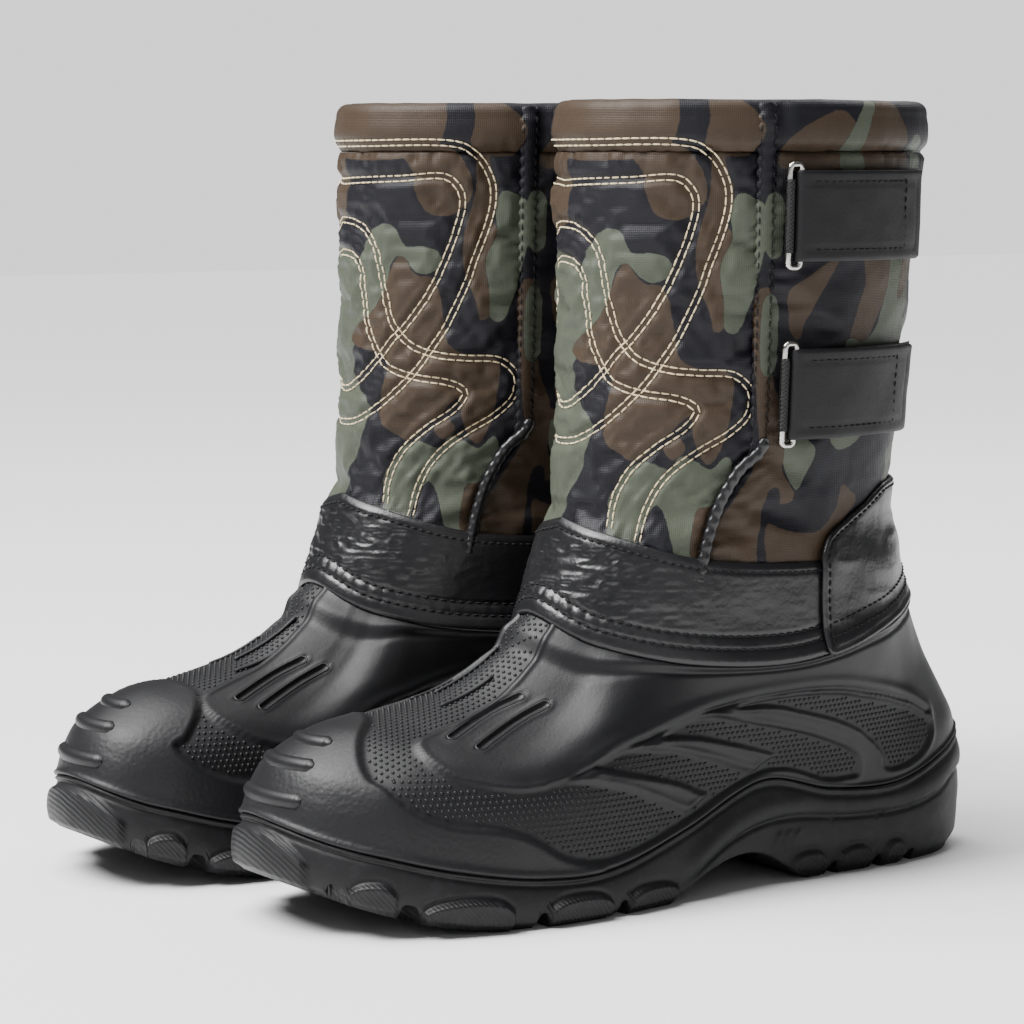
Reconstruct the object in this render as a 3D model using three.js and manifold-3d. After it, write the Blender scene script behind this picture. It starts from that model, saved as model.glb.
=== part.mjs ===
// A pair of insulated hunting boots: a moulded foam galosh on a lugged outsole, a padded fabric shaft
// with a fleece lining, and two hook-and-loop straps with wire rings on the outer side of each boot.
// Millimetres, +Z up, toes towards -Y. The origin is under the centre of the pair, on the ground.
// Each boot is drawn in its own frame, outer side towards +X, and the right boot is its mirror image.

import * as THREE from 'three';
import { mergeVertices } from 'three/addons/utils/BufferGeometryUtils.js';
import Module from 'manifold-3d';

const wasm = await Module();
wasm.setup();

// ---- Pair ----
const BOOT_SPACING = 124;        // centreline to centreline
const STAGGER = 21;              // how far the right boot stands ahead of the left one
const GAP = 0.3;                 // between pieces that touch
const RIM_GAP = 1.2;             // between the galosh's rim and the pieces that stand on it
const LAYER_GAP = 0.85;          // between curved layers of the shaft, whose facets differ

// ---- Sole outline, from the toe along the outer side to the heel and back along the inner side ----
const SOLE_LENGTH_SCALE = 1;     // stretches the outline fore and aft
const SOLE_OUTLINE = [
  [-10, -167], [13, -162], [34, -145], [47, -118], [53, -86], [53, -54], [48, -18], [43, 18],
  [42, 56], [41, 90], [36, 117], [22, 137], [2, 143], [-20, 138], [-34, 119], [-38, 92],
  [-38, 56], [-37, 18], [-41, -18], [-48, -54], [-52, -86], [-50, -118], [-43, -144], [-30, -161],
];
const OUTLINE_STEPS = 32;

// ---- Outsole ----
const TOE_SPRING = 19;           // how far the toe tip curls up
const SPRING_START = -90;        // the toe curls up ahead of here
const SPRING_RUN = 77;
const SOLE_BED = 14;             // height of the bed that carries the galosh
const BED_LIFT = 0.8;            // share of the toe's curl that the bed follows
const SOLE_RIM = 3;              // thickness of the cup wall round the galosh
const SOLE_FLARE = 2;            // how far the sole's side bulges past the outline
const SOLE_EDGE_INSET = 3;       // tread edge inside the outline
const LUG_DEPTH = 8;
const CHANNEL_WIDTH = 14;        // lengthwise channel between the two rows of lugs
const CHANNEL_SPAN = [-120, 84];
const ARCH_SPAN = [-22, 33];     // the raised waist between forefoot and heel
const LUG_GROOVES = [-154, -135, -87, -52, 58, 80.5, 98.5];
const GROOVE_WIDTH = 6;
const CUTTER_WIDTH = 200;        // wider than the sole
// Height of the line where the galosh leaves the sole: [place along the outline 0..0.5, height]
const PARTING_HEIGHT = [
  [0, 40], [0.083, 30.5], [0.125, 23.5], [0.167, 18.3], [0.208, 18.2], [0.25, 27.5], [0.29, 40],
  [0.305, 41], [0.333, 34.5], [0.375, 33], [0.417, 41], [0.458, 48], [0.5, 50],
];

// ---- Galosh (moulded shell) ----
const SHELL_WALL = 4.5;
const SHELL_FLOOR = 4;
const RIM_CENTRE_Y = 32;
const RIM_HALF_LENGTH = 86;
const RIM_HALF_WIDTH = 53.5;
// Height of the galosh's top edge: [angle from the outer side, height]
const RIM_HEIGHT = [[-90, 107], [-60, 97], [-30, 90], [0, 88.7], [30, 96.5], [60, 104.5], [90, 109]];
// Each profile runs from the parting line to the rim: run = share of the way in, rise = share of the height
const SHELL_PROFILES = [
  { at: 0, run: [0, 0.035, 0.1, 0.25, 0.45, 0.68, 0.87, 1], rise: [0, 0.17, 0.31, 0.44, 0.51, 0.6, 0.77, 1] },
  { at: 0.125, run: [0, 0.03, 0.1, 0.26, 0.47, 0.7, 0.88, 1], rise: [0, 0.19, 0.34, 0.46, 0.54, 0.65, 0.81, 1] },
  { at: 0.21, run: [0, -0.02, 0.03, 0.16, 0.36, 0.6, 0.82, 1], rise: [0, 0.18, 0.35, 0.51, 0.65, 0.77, 0.89, 1] },
  { at: 0.31, run: [0, 0.12, 0.3, 0.48, 0.65, 0.8, 0.92, 1], rise: [0, 0.15, 0.31, 0.46, 0.62, 0.75, 0.89, 1] },
  { at: 0.4, run: [0, 0.1, 0.3, 0.5, 0.7, 0.85, 0.95, 1], rise: [0, 0.14, 0.29, 0.43, 0.57, 0.71, 0.86, 1] },
  { at: 0.5, run: [0, 0.06, 0.2, 0.38, 0.56, 0.72, 0.87, 1], rise: [0, 0.1, 0.22, 0.36, 0.51, 0.67, 0.83, 1] },
];

// ---- Lining inside the galosh ----
const LINER_THICKNESS = 3;
const INSOLE_THICKNESS = 5;

// ---- Shaft: [height, centre y, half length, half width] of its outer face ----
const SHAFT_SECTIONS = [
  [85, 31.5, 82, 50.5], [111, 31, 80.5, 50], [130, 32.2, 75, 49.6], [145, 34.5, 72.2, 50],
  [170, 37, 73, 52], [215, 40.5, 75.6, 54.8], [297, 44.5, 78.3, 58],
];
const SHAFT_TOP = 297;
const COLLAR_HEIGHT = 20;
const PANEL_THICKNESS = 5;
const LINING_THICKNESS = 5;
const SHAFT_STEPS = 28;

// ---- Side seams between front and back panel ----
const SEAM_Y = 16;               // fore-and-aft place of the straight upper part
// Below the straps the seam sweeps forwards: [height, distance ahead of the straight part]
const SEAM_SWEEP = [[126, 22], [138, 20], [147, 15], [156, 8], [163, 2], [170, 0]];
const SEAM_GAP = 0.6;
const TAPE_WIDTH = 6;
const PIPING_WIDTH = 3;          // the tape narrows to this below the straps
const PIPING_TOP = 160;
const PIPING_BOTTOM = 130;
const TAPE_THICKNESS = 1.4;

// ---- Ankle band and heel patch ----
const BAND_TOP = [[-90, 141], [-60, 135], [-30, 127], [0, 124], [30, 124], [60, 126], [90, 127]];
const BAND_THICKNESS = 1.8;
const PATCH_THICKNESS = 1.8;
const PATCH_EDGE_ANGLE = 6;      // front edge of the heel patch, from the outer side
const PATCH_HEIGHT = 151;
// How far the patch's top edge lies below its full height: [angle from the outer side, drop]
const PATCH_DROP = [[6, 32], [9, 23], [18, 13], [27, 5.5], [36, 1.5], [60, 0], [90, 0]];

// ---- Straps ----
const STRAPS = [{ name: 'upper', z: 253.5 }, { name: 'lower', z: 187.5 }];
const STRAP_WIDTH = 33.5;
const STRAP_THICKNESS = 1;
const STRAP_END_Y = 90;          // free end of the flap
const BASE_END_Y = 100;          // sewn end of the strap underneath
const PAD_SPAN_Y = [34, 85];     // hook and loop pads
const PAD_WIDTH = 27;
const PAD_THICKNESS = 0.9;
const WIRE_RADIUS = 1.2;
const BAR_OFFSET = 3.6;          // ring wire centre, out from the fabric
const WIRE_PLAY = 0.25;          // between the wire and the webbing round it
const TAB_THICKNESS = 0.5;
const TAB_WIDTH = 27;
const WIRE_SIDES = 6;

const rad = THREE.MathUtils.degToRad;
const deg = THREE.MathUtils.radToDeg;
const lerp = THREE.MathUtils.lerp;

// ---- Small helpers ----

// A smooth curve through [x, value] pairs, flat past both ends.
function follow(table, x) {
  const last = table.length - 1;
  if (x <= table[0][0]) return table[0][1];
  if (x >= table[last][0]) return table[last][1];
  let k = 0;
  while (table[k + 1][0] < x) k += 1;
  const slope = (i) => {
    const lo = table[Math.max(i - 1, 0)];
    const hi = table[Math.min(i + 1, last)];
    return (hi[1] - lo[1]) / (hi[0] - lo[0]);
  };
  const span = table[k + 1][0] - table[k][0];
  const u = (x - table[k][0]) / span;
  const rest = 1 - u;
  return table[k][1] * (1 + 2 * u) * rest * rest + table[k + 1][1] * u * u * (3 - 2 * u)
    + span * (slope(k) * u * rest * rest - slope(k + 1) * u * u * rest);
}

// Straight steps from a to b, both included.
function steps(a, b, count) {
  return Array.from({ length: count + 1 }, (_, i) => lerp(a, b, i / count));
}

// Joins loops of points into one closed skin. Loops are joined end to end when wrap is set; otherwise
// each end is closed by pairing the first point of the loop with its last, and so on inwards.
function skin(loops, wrap = false) {
  const size = loops[0].length;
  const positions = loops.flat().flatMap((p) => [p.x, p.y, p.z]);
  const index = [];
  const rows = wrap ? loops.length : loops.length - 1;
  for (let r = 0; r < rows; r += 1) {
    const here = r * size;
    const next = ((r + 1) % loops.length) * size;
    for (let k = 0; k < size; k += 1) {
      const k2 = (k + 1) % size;
      index.push(here + k, here + k2, next + k2, here + k, next + k2, next + k);
    }
  }
  if (!wrap) {
    closeEnd(index, 0, size, false);
    closeEnd(index, (loops.length - 1) * size, size, true);
  }
  return outward(positions, index);
}

function closeEnd(index, start, size, far) {
  for (let k = 0; k < size / 2 - 1; k += 1) {
    const a = start + k;
    const b = start + k + 1;
    const c = start + size - 2 - k;
    const d = start + size - 1 - k;
    if (far) {
      index.push(a, b, c, a, c, d);
    } else {
      index.push(a, c, b, a, d, c);
    }
  }
}

// Makes the geometry, with its faces turned outwards.
function outward(positions, index) {
  let volume = 0;
  const point = (i) => new THREE.Vector3(...positions.slice(3 * i, 3 * i + 3));
  for (let i = 0; i < index.length; i += 3) {
    const a = point(index[i]);
    volume += a.dot(point(index[i + 1]).cross(point(index[i + 2])));
  }
  const faces = volume < 0 ? flipped(index) : index;
  const geometry = new THREE.BufferGeometry();
  geometry.setAttribute('position', new THREE.Float32BufferAttribute(positions, 3));
  geometry.setIndex(faces);
  return geometry;
}

function flipped(index) {
  const turned = [];
  for (let i = 0; i < index.length; i += 3) turned.push(index[i], index[i + 2], index[i + 1]);
  return turned;
}

// A strip: each section is a row of [outer point, inner point] pairs.
function strip(sections, wrap = false) {
  const loops = sections.map((pairs) => [...pairs.map((p) => p[0]), ...pairs.map((p) => p[1]).reverse()]);
  return skin(loops, wrap);
}

function toManifold(geometry) {
  const bare = geometry.clone();
  bare.deleteAttribute('normal');
  bare.deleteAttribute('uv');
  const merged = mergeVertices(bare, 1e-5);
  return new wasm.Manifold(new wasm.Mesh({
    numProp: 3,
    vertProperties: new Float32Array(merged.attributes.position.array),
    triVerts: new Uint32Array(merged.index.array),
  }));
}

function fromManifold(solid) {
  const mesh = solid.getMesh();
  const geometry = new THREE.BufferGeometry();
  geometry.setAttribute('position', new THREE.Float32BufferAttribute(mesh.vertProperties, 3));
  geometry.setIndex(Array.from(mesh.triVerts));
  return geometry;
}

// ---- Sole outline ----

const outlineCurve = new THREE.CatmullRomCurve3(
  SOLE_OUTLINE.map(([x, y]) => new THREE.Vector3(x, y * SOLE_LENGTH_SCALE, 0)), true, 'catmullrom', 0.5);
const OUTLINE_PLACES = Array.from({ length: OUTLINE_STEPS }, (_, i) => (i + 0.5) / OUTLINE_STEPS);

function outline(t, inset = 0) {
  const p = outlineCurve.getPoint(t);
  const along = outlineCurve.getTangent(t);
  return new THREE.Vector2(p.x - along.y * inset, p.y + along.x * inset);
}

// Profiles and heights are given for the outer half and repeated on the inner half.
function half(t) {
  return t > 0.5 ? 1 - t : t;
}

function springAt(y) {
  const reach = Math.max(0, SPRING_START * SOLE_LENGTH_SCALE - y) / SPRING_RUN;
  return TOE_SPRING * reach * reach;
}

function partingHeight(t) {
  return follow(PARTING_HEIGHT, half(t));
}

// Height of the bed at a fore-and-aft place, raised by any layers that lie on it.
function bedAt(y, layers = 0) {
  return SOLE_BED + BED_LIFT * springAt(y) + layers;
}

// Height at which the pieces inside the cup turn from the floor into the wall.
function turnHeight(t, y) {
  return Math.max(partingHeight(t), bedAt(y, SHELL_FLOOR + LINER_THICKNESS + 2 * GAP + 1));
}

// ---- Shaft surface ----

function shaftSize(z) {
  const column = (k) => follow(SHAFT_SECTIONS.map((row) => [row[0], row[k]]), z);
  return { y: column(1), a: column(2), b: column(3) };
}

// The point of the shaft's outer face at an angle from the outer side, moved out by offset.
function onShaft(angle, z, offset) {
  const size = shaftSize(z);
  const turn = rad(angle);
  return new THREE.Vector3(
    (size.b + offset) * Math.cos(turn), size.y + (size.a + offset) * Math.sin(turn), z);
}

function angleAtY(y, z, offset) {
  const size = shaftSize(z);
  return deg(Math.asin((y - size.y) / (size.a + offset)));
}

// Front and back repeat on the outer and inner side: angles past +-90 mirror back.
function foldAngle(angle) {
  const turned = ((angle + 90) % 360 + 360) % 360 - 90;
  return turned > 90 ? 180 - turned : turned;
}

function rimHeight(angle) {
  return follow(RIM_HEIGHT, foldAngle(angle));
}

// ---- Galosh surface ----

function rimPoint(t) {
  const p = outline(t);
  const turn = Math.atan2((p.y - RIM_CENTRE_Y) / RIM_HALF_LENGTH, p.x / RIM_HALF_WIDTH);
  return new THREE.Vector3(
    RIM_HALF_WIDTH * Math.cos(turn), RIM_CENTRE_Y + RIM_HALF_LENGTH * Math.sin(turn), rimHeight(deg(turn)));
}

function shellRow(row) {
  return OUTLINE_PLACES.map((t) => {
    const run = follow(SHELL_PROFILES.map((p) => [p.at, p.run[row]]), half(t));
    const rise = follow(SHELL_PROFILES.map((p) => [p.at, p.rise[row]]), half(t));
    const foot = outline(t);
    const rim = rimPoint(t);
    return new THREE.Vector3(
      lerp(foot.x, rim.x, run), lerp(foot.y, rim.y, run), lerp(partingHeight(t), rim.z, rise));
  });
}

const SHELL_ROWS = SHELL_PROFILES[0].run.map((_, row) => shellRow(row));

// The galosh's outer rows moved inwards along their own normals.
function shellRowInside(row, depth) {
  const rows = SHELL_ROWS;
  const count = OUTLINE_PLACES.length;
  return rows[row].map((p, i) => {
    const ahead = rows[row][(i + 1) % count];
    const behind = rows[row][(i + count - 1) % count];
    const above = rows[Math.min(row + 1, rows.length - 1)][i];
    const below = rows[Math.max(row - 1, 0)][i];
    const around = ahead.clone().sub(behind);
    const up = above.clone().sub(below);
    const normal = around.cross(up).normalize();
    if (row === rows.length - 1) normal.setZ(0).normalize();
    return p.clone().addScaledVector(normal, -depth);
  });
}

function flatRing(inset, height) {
  return OUTLINE_PLACES.map((t) => {
    const p = outline(t, inset);
    return new THREE.Vector3(p.x, p.y, height(t, p.y));
  });
}

// ---- Foot pieces ----

function outsole() {
  const top = (t) => partingHeight(t) - GAP / 2;
  const rings = [
    flatRing(SOLE_EDGE_INSET, (t, y) => springAt(y)),
    flatRing(0.5, (t, y) => springAt(y) + 4),
    flatRing(-SOLE_FLARE, (t, y) => lerp(springAt(y), top(t), 0.5)),
    flatRing(-SOLE_FLARE / 2, (t) => top(t) - 2.5),
    flatRing(0, top),
    flatRing(SOLE_RIM, top),
    flatRing(SOLE_RIM + 1, (t, y) => bedAt(y)),
  ];
  let body = toManifold(skin(rings));
  for (const cutter of treadCutters()) body = body.subtract(toManifold(cutter));
  return fromManifold(body);
}

// Boxes that leave the lugs standing: cross grooves, one lengthwise channel and the raised waist.
function treadCutters() {
  const cutters = LUG_GROOVES.map((y) => {
    const place = y * SOLE_LENGTH_SCALE;
    const box = new THREE.BoxGeometry(CUTTER_WIDTH, GROOVE_WIDTH, LUG_DEPTH * 2);
    return box.translate(0, place, springAt(place));
  });
  cutters.push(lengthwiseCutter(CUTTER_WIDTH, ARCH_SPAN, LUG_DEPTH * 2));
  cutters.push(lengthwiseCutter(CHANNEL_WIDTH, CHANNEL_SPAN, LUG_DEPTH));
  return cutters;
}

function lengthwiseCutter(width, [front, back], height) {
  const box = new THREE.BoxGeometry(width, (back - front) * SOLE_LENGTH_SCALE, height);
  return box.translate(0, ((front + back) / 2) * SOLE_LENGTH_SCALE, 0);
}

function shell() {
  const seat = (t) => partingHeight(t) + GAP / 2;
  const seatRow = SHELL_ROWS[0].map((p) => new THREE.Vector3(p.x, p.y, p.z + GAP / 2));
  const lastRow = SHELL_ROWS.length - 1;
  const rings = [
    flatRing(SOLE_RIM + 1 + GAP, (t, y) => bedAt(y, GAP)),
    flatRing(SOLE_RIM + GAP, seat),
    seatRow,
    ...SHELL_ROWS.slice(1),
  ];
  for (let row = lastRow; row >= 1; row -= 1) rings.push(shellRowInside(row, shellWall(row)));
  rings.push(flatRing(shellWall(0), turnHeight));
  rings.push(flatRing(shellWall(0) + 1, (t, y) => bedAt(y, GAP + SHELL_FLOOR)));
  return skin(rings.reverse());
}

// The galosh wall is thicker where it stands inside the sole's cup.
function shellWall(row) {
  return row === 0 ? SOLE_RIM + SHELL_WALL : SHELL_WALL + Math.max(0, 2 - row);
}

function footLiner() {
  const low = (t, y) => bedAt(y, SHELL_FLOOR + 2 * GAP);
  const wall = (row, extra) => shellWall(row) + GAP + extra;
  const lastRow = SHELL_ROWS.length - 1;
  const rings = [flatRing(wall(0, 1), low), flatRing(wall(0, 0), turnHeight)];
  for (let row = 1; row <= lastRow; row += 1) rings.push(shellRowInside(row, wall(row, 0)));
  for (let row = lastRow; row >= 1; row -= 1) rings.push(shellRowInside(row, wall(row, LINER_THICKNESS)));
  rings.push(flatRing(wall(0, LINER_THICKNESS), turnHeight));
  rings.push(flatRing(wall(0, LINER_THICKNESS + 1), (t, y) => low(t, y) + LINER_THICKNESS));
  return skin(rings);
}

function insole() {
  const low = (t, y) => bedAt(y, SHELL_FLOOR + LINER_THICKNESS + 3 * GAP);
  const inset = SOLE_RIM + SHELL_WALL + LINER_THICKNESS + 1 + 2 * GAP + 1;
  return skin([flatRing(inset, low), flatRing(inset, (t, y) => low(t, y) + INSOLE_THICKNESS)]);
}

// ---- Shaft pieces ----

// A sleeve all round the shaft with rows of corners at the given heights, between two offsets.
function sleeve(heights, inner, outer) {
  const sections = fullTurn(SHAFT_STEPS).map((angle) => (
    heights(angle).map((z) => [onShaft(angle, z, outer), onShaft(angle, z, inner)])));
  return strip(sections, true);
}

function fullTurn(count) {
  return Array.from({ length: count }, (_, i) => -90 + (i * 360) / count);
}

const panelBottom = (angle) => rimHeight(angle) + RIM_GAP;
const panelTop = SHAFT_TOP - COLLAR_HEIGHT;

// The heights at which every shaft piece has a row of corners, so that their facets lie together.
function shaftHeights(angle) {
  const low = panelBottom(angle);
  const band = bandTop(angle);
  return [
    low, (low + band) / 2, band, (band + PATCH_HEIGHT) / 2,
    ...steps(PATCH_HEIGHT, panelTop, 3),
  ];
}

function seamAngle(z, shift) {
  return angleAtY(SEAM_Y - follow(SEAM_SWEEP, z) + shift, z, 0);
}

// A panel runs between the outer seam and the same line on the inner side.
function panel(front) {
  const count = front ? 16 : 20;
  const shift = front ? -SEAM_GAP / 2 : SEAM_GAP / 2;
  const spread = (z, share) => {
    const edge = seamAngle(z, shift);
    return front ? lerp(edge, -180 - edge, share) : lerp(edge, 180 - edge, share);
  };
  const rows = shaftHeights(0).length;
  const sections = steps(0, 1, count).map((share) => Array.from({ length: rows }, (_, row) => {
    const guess = shaftHeights(spread(130, share))[row];
    const z = shaftHeights(spread(guess, share))[row];
    const angle = spread(z, share);
    return [onShaft(angle, z, 0), onShaft(angle, z, -PANEL_THICKNESS)];
  }));
  return strip(sections);
}

function shaftLining() {
  const outer = -PANEL_THICKNESS - LAYER_GAP;
  return sleeve(shaftHeights, outer - LINING_THICKNESS, outer);
}

// The padded roll round the top, with rounded upper edges.
function collar() {
  const low = panelTop + GAP;
  const depth = PANEL_THICKNESS + LAYER_GAP + LINING_THICKNESS;
  const middle = -depth / 2;
  const round = depth / 2;
  const sections = fullTurn(SHAFT_STEPS).map((angle) => {
    const lowPair = [onShaft(angle, low, 0), onShaft(angle, low, -depth)];
    const archPairs = [0, 45, 80].map((arc) => {
      const reach = round * Math.cos(rad(arc));
      const z = SHAFT_TOP - round + round * Math.sin(rad(arc)) / Math.sin(rad(80));
      return [onShaft(angle, z, middle + reach), onShaft(angle, z, middle - reach)];
    });
    return [lowPair, ...archPairs];
  });
  return strip(sections, true);
}

function seamTape(inner) {
  const sections = steps(PIPING_BOTTOM, SHAFT_TOP - 2, 11).map((z) => {
    const blend = THREE.MathUtils.smoothstep(z, PIPING_TOP - 10, PIPING_TOP + 10);
    const width = lerp(PIPING_WIDTH, TAPE_WIDTH, blend);
    const places = [-width / 2, width / 2];
    return places.map((shift) => {
      const edge = seamAngle(z, shift);
      const angle = inner ? 180 - edge : edge;
      return [onShaft(angle, z, LAYER_GAP + TAPE_THICKNESS), onShaft(angle, z, LAYER_GAP)];
    });
  });
  return strip(sections);
}

function bandTop(angle) {
  return follow(BAND_TOP, foldAngle(angle));
}

function ankleBand() {
  return sleeve((angle) => shaftHeights(angle).slice(0, 3), LAYER_GAP, LAYER_GAP + BAND_THICKNESS);
}

// The patch lies on the band, and steps in to the fabric above it.
function heelPatch() {
  const overBand = LAYER_GAP + BAND_THICKNESS + LAYER_GAP;
  const angles = steps(PATCH_EDGE_ANGLE, 180 - PATCH_EDGE_ANGLE, 14);
  const sections = angles.map((angle) => {
    const [low, middle, band] = shaftHeights(angle);
    const top = Math.max(patchTop(angle), band + 4);
    const rows = [
      [low + 1, overBand], [middle, overBand], [band + 1, overBand],
      [band + 2.5, LAYER_GAP], [(band + top) / 2 + 1, LAYER_GAP], [top, LAYER_GAP],
    ];
    return rows.map(([z, inner]) => (
      [onShaft(angle, z, inner + PATCH_THICKNESS), onShaft(angle, z, inner)]));
  });
  return strip(sections);
}

function patchTop(angle) {
  return PATCH_HEIGHT - follow(PATCH_DROP, foldAngle(angle));
}

// ---- Strap pieces ----

const TAB_REACH = WIRE_RADIUS + WIRE_PLAY + TAB_THICKNESS / 2;        // wire centre to tab centre
const FLAP_REACH = WIRE_RADIUS + WIRE_PLAY + STRAP_THICKNESS / 2;     // wire centre to strap centre
const FRONT_BAR_Y = SEAM_Y + TAPE_WIDTH / 2 + GAP + TAB_REACH + TAB_THICKNESS / 2;
const REAR_BAR_Y = FRONT_BAR_Y + TAB_REACH + TAB_THICKNESS / 2 + GAP + FLAP_REACH + STRAP_THICKNESS / 2;
const FLAP_OFFSET = BAR_OFFSET + FLAP_REACH;

// The frame of an upright ring bar at one height: its centre, the way out and the way back.
function barFrame(y, z) {
  const angle = angleAtY(y, z, BAR_OFFSET);
  const centre = onShaft(angle, z, BAR_OFFSET);
  const ahead = onShaft(angle + 1, z, BAR_OFFSET);
  const back = ahead.sub(centre).normalize();
  const out = new THREE.Vector3(back.y, -back.x, 0);
  return { centre, back, out };
}

// A point beside a bar: arc 90 is straight out, 0 is forwards, -90 is towards the fabric.
function besideBar(frame, arc, radius) {
  return frame.centre.clone()
    .addScaledVector(frame.out, radius * Math.sin(rad(arc)))
    .addScaledVector(frame.back, -radius * Math.cos(rad(arc)));
}

function strapLevels(strap, width) {
  return [strap.z - width / 2, strap.z + width / 2];
}

function strapFlap(strap) {
  const sections = steps(-60, 90, 5).map((arc) => strapLevels(strap, STRAP_WIDTH).map((z) => {
    const frame = barFrame(REAR_BAR_Y, z);
    return [
      besideBar(frame, arc, FLAP_REACH + STRAP_THICKNESS / 2),
      besideBar(frame, arc, FLAP_REACH - STRAP_THICKNESS / 2),
    ];
  }));
  const span = steps(REAR_BAR_Y + 4, STRAP_END_Y, 9);
  return strip([...sections, ...layer(strap, span, STRAP_WIDTH, FLAP_OFFSET, STRAP_THICKNESS)]);
}

// A flat layer of strap that follows the shaft at one offset, between fore-and-aft places.
function layer(strap, places, width, offset, thickness) {
  return places.map((y) => strapLevels(strap, width).map((z) => {
    const angle = angleAtY(y, z, offset);
    return [onShaft(angle, z, offset + thickness / 2), onShaft(angle, z, offset - thickness / 2)];
  }));
}

const BASE_OFFSET = LAYER_GAP + STRAP_THICKNESS / 2;
const LOOP_OFFSET = BASE_OFFSET + STRAP_THICKNESS / 2 + GAP + PAD_THICKNESS / 2;
const HOOK_OFFSET = FLAP_OFFSET - STRAP_THICKNESS / 2 - GAP - PAD_THICKNESS / 2;

function strapBase(strap) {
  const start = REAR_BAR_Y + FLAP_REACH + STRAP_THICKNESS / 2 + GAP;
  return strip(layer(strap, steps(start, BASE_END_Y, 9), STRAP_WIDTH, BASE_OFFSET, STRAP_THICKNESS));
}

function pad(strap, offset) {
  const places = steps(PAD_SPAN_Y[0], PAD_SPAN_Y[1], 7);
  return strip(layer(strap, places, PAD_WIDTH, offset, PAD_THICKNESS));
}

// A short loop of webbing round the ring's front bar, from beside the tape round the back of the bar.
function ringTab(strap) {
  const wrapped = [35, 80, 125, 170, 215, 255].map((arc) => strapLevels(strap, TAB_WIDTH).map((z) => {
    const frame = barFrame(FRONT_BAR_Y, z);
    return [
      besideBar(frame, arc, TAB_REACH + TAB_THICKNESS / 2),
      besideBar(frame, arc, TAB_REACH - TAB_THICKNESS / 2),
    ];
  }));
  const foot = strapLevels(strap, TAB_WIDTH).map((z) => {
    const frame = barFrame(FRONT_BAR_Y, z);
    const low = BAR_OFFSET - GAP;
    const beside = (down) => frame.centre.clone().addScaledVector(frame.out, -down);
    return [beside(low), beside(low - TAB_THICKNESS)];
  });
  return strip([...wrapped, foot]);
}

// A rectangular ring of round wire.
function wireRing(strap) {
  const reach = STRAP_WIDTH / 2 + WIRE_RADIUS + 1;
  const corner = 1.6;
  const along = (y, z) => barFrame(y, z).centre;
  const low = strap.z - reach;
  const high = strap.z + reach;
  const path = [
    along(FRONT_BAR_Y, low + corner), along(FRONT_BAR_Y, high - corner),
    along(FRONT_BAR_Y + corner, high), along(REAR_BAR_Y - corner, high),
    along(REAR_BAR_Y, high - corner), along(REAR_BAR_Y, low + corner),
    along(REAR_BAR_Y - corner, low), along(FRONT_BAR_Y + corner, low),
  ];
  const across = barFrame((FRONT_BAR_Y + REAR_BAR_Y) / 2, strap.z).out;
  const loops = path.map((p, i) => {
    const before = path[(i + path.length - 1) % path.length];
    const after = path[(i + 1) % path.length];
    const heading = after.clone().sub(p).normalize().add(p.clone().sub(before).normalize()).normalize();
    const out = across.clone().addScaledVector(heading, -across.dot(heading)).normalize();
    const side = heading.clone().cross(out);
    return Array.from({ length: WIRE_SIDES }, (_, k) => {
      const turn = (2 * Math.PI * k) / WIRE_SIDES;
      return p.clone()
        .addScaledVector(out, WIRE_RADIUS * Math.cos(turn))
        .addScaledVector(side, WIRE_RADIUS * Math.sin(turn));
    });
  });
  return skin(loops, true);
}

// ---- Materials ----

function material(color, roughness, metalness = 0) {
  return new THREE.MeshStandardMaterial({ color, roughness, metalness });
}

const MATERIALS = {
  foam: material(0x17181a, 0.45),
  sole: material(0x141416, 0.6),
  felt: material(0x8d8470, 0.95),
  insole: material(0x4a4c50, 0.9),
  fleece: material(0xb8a888, 0.98),
  camo: material(0x3e4030, 0.75),
  leather: material(0x0e0e10, 0.35),
  webbing: material(0x111113, 0.6),
  wire: material(0xc9c9c4, 0.25, 1),
  hookLoop: material(0x0b0b0c, 0.9),
};

// ---- One boot ----

function bootPieces() {
  const pieces = [
    ['outsole', outsole(), MATERIALS.sole],
    ['shell', shell(), MATERIALS.foam],
    ['foot_liner', footLiner(), MATERIALS.felt],
    ['insole', insole(), MATERIALS.insole],
    ['shaft_lining', shaftLining(), MATERIALS.fleece],
    ['front_panel', panel(true), MATERIALS.camo],
    ['back_panel', panel(false), MATERIALS.camo],
    ['collar', collar(), MATERIALS.camo],
    ['outer_seam_tape', seamTape(false), MATERIALS.camo],
    ['inner_seam_tape', seamTape(true), MATERIALS.camo],
    ['ankle_band', ankleBand(), MATERIALS.leather],
    ['heel_patch', heelPatch(), MATERIALS.leather],
  ];
  for (const strap of STRAPS) {
    pieces.push(
      [`${strap.name}_strap_base`, strapBase(strap), MATERIALS.webbing],
      [`${strap.name}_strap_flap`, strapFlap(strap), MATERIALS.leather],
      [`${strap.name}_loop_pad`, pad(strap, LOOP_OFFSET), MATERIALS.hookLoop],
      [`${strap.name}_hook_pad`, pad(strap, HOOK_OFFSET), MATERIALS.hookLoop],
      [`${strap.name}_ring_tab`, ringTab(strap), MATERIALS.webbing],
      [`${strap.name}_ring`, wireRing(strap), MATERIALS.wire],
    );
  }
  return pieces;
}

// The mirror image of a geometry across x = 0, with its faces still outwards.
function mirrored(geometry) {
  const copy = geometry.clone().scale(-1, 1, 1);
  copy.setIndex(flipped(Array.from(copy.index.array)));
  return copy;
}

function boot(side, pieces) {
  const group = new THREE.Group();
  for (const [name, geometry, look] of pieces) {
    const mesh = new THREE.Mesh(side === 'left' ? geometry : mirrored(geometry), look.clone());
    mesh.name = `${side}_${name}`;
    group.add(mesh);
  }
  return group;
}

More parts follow.
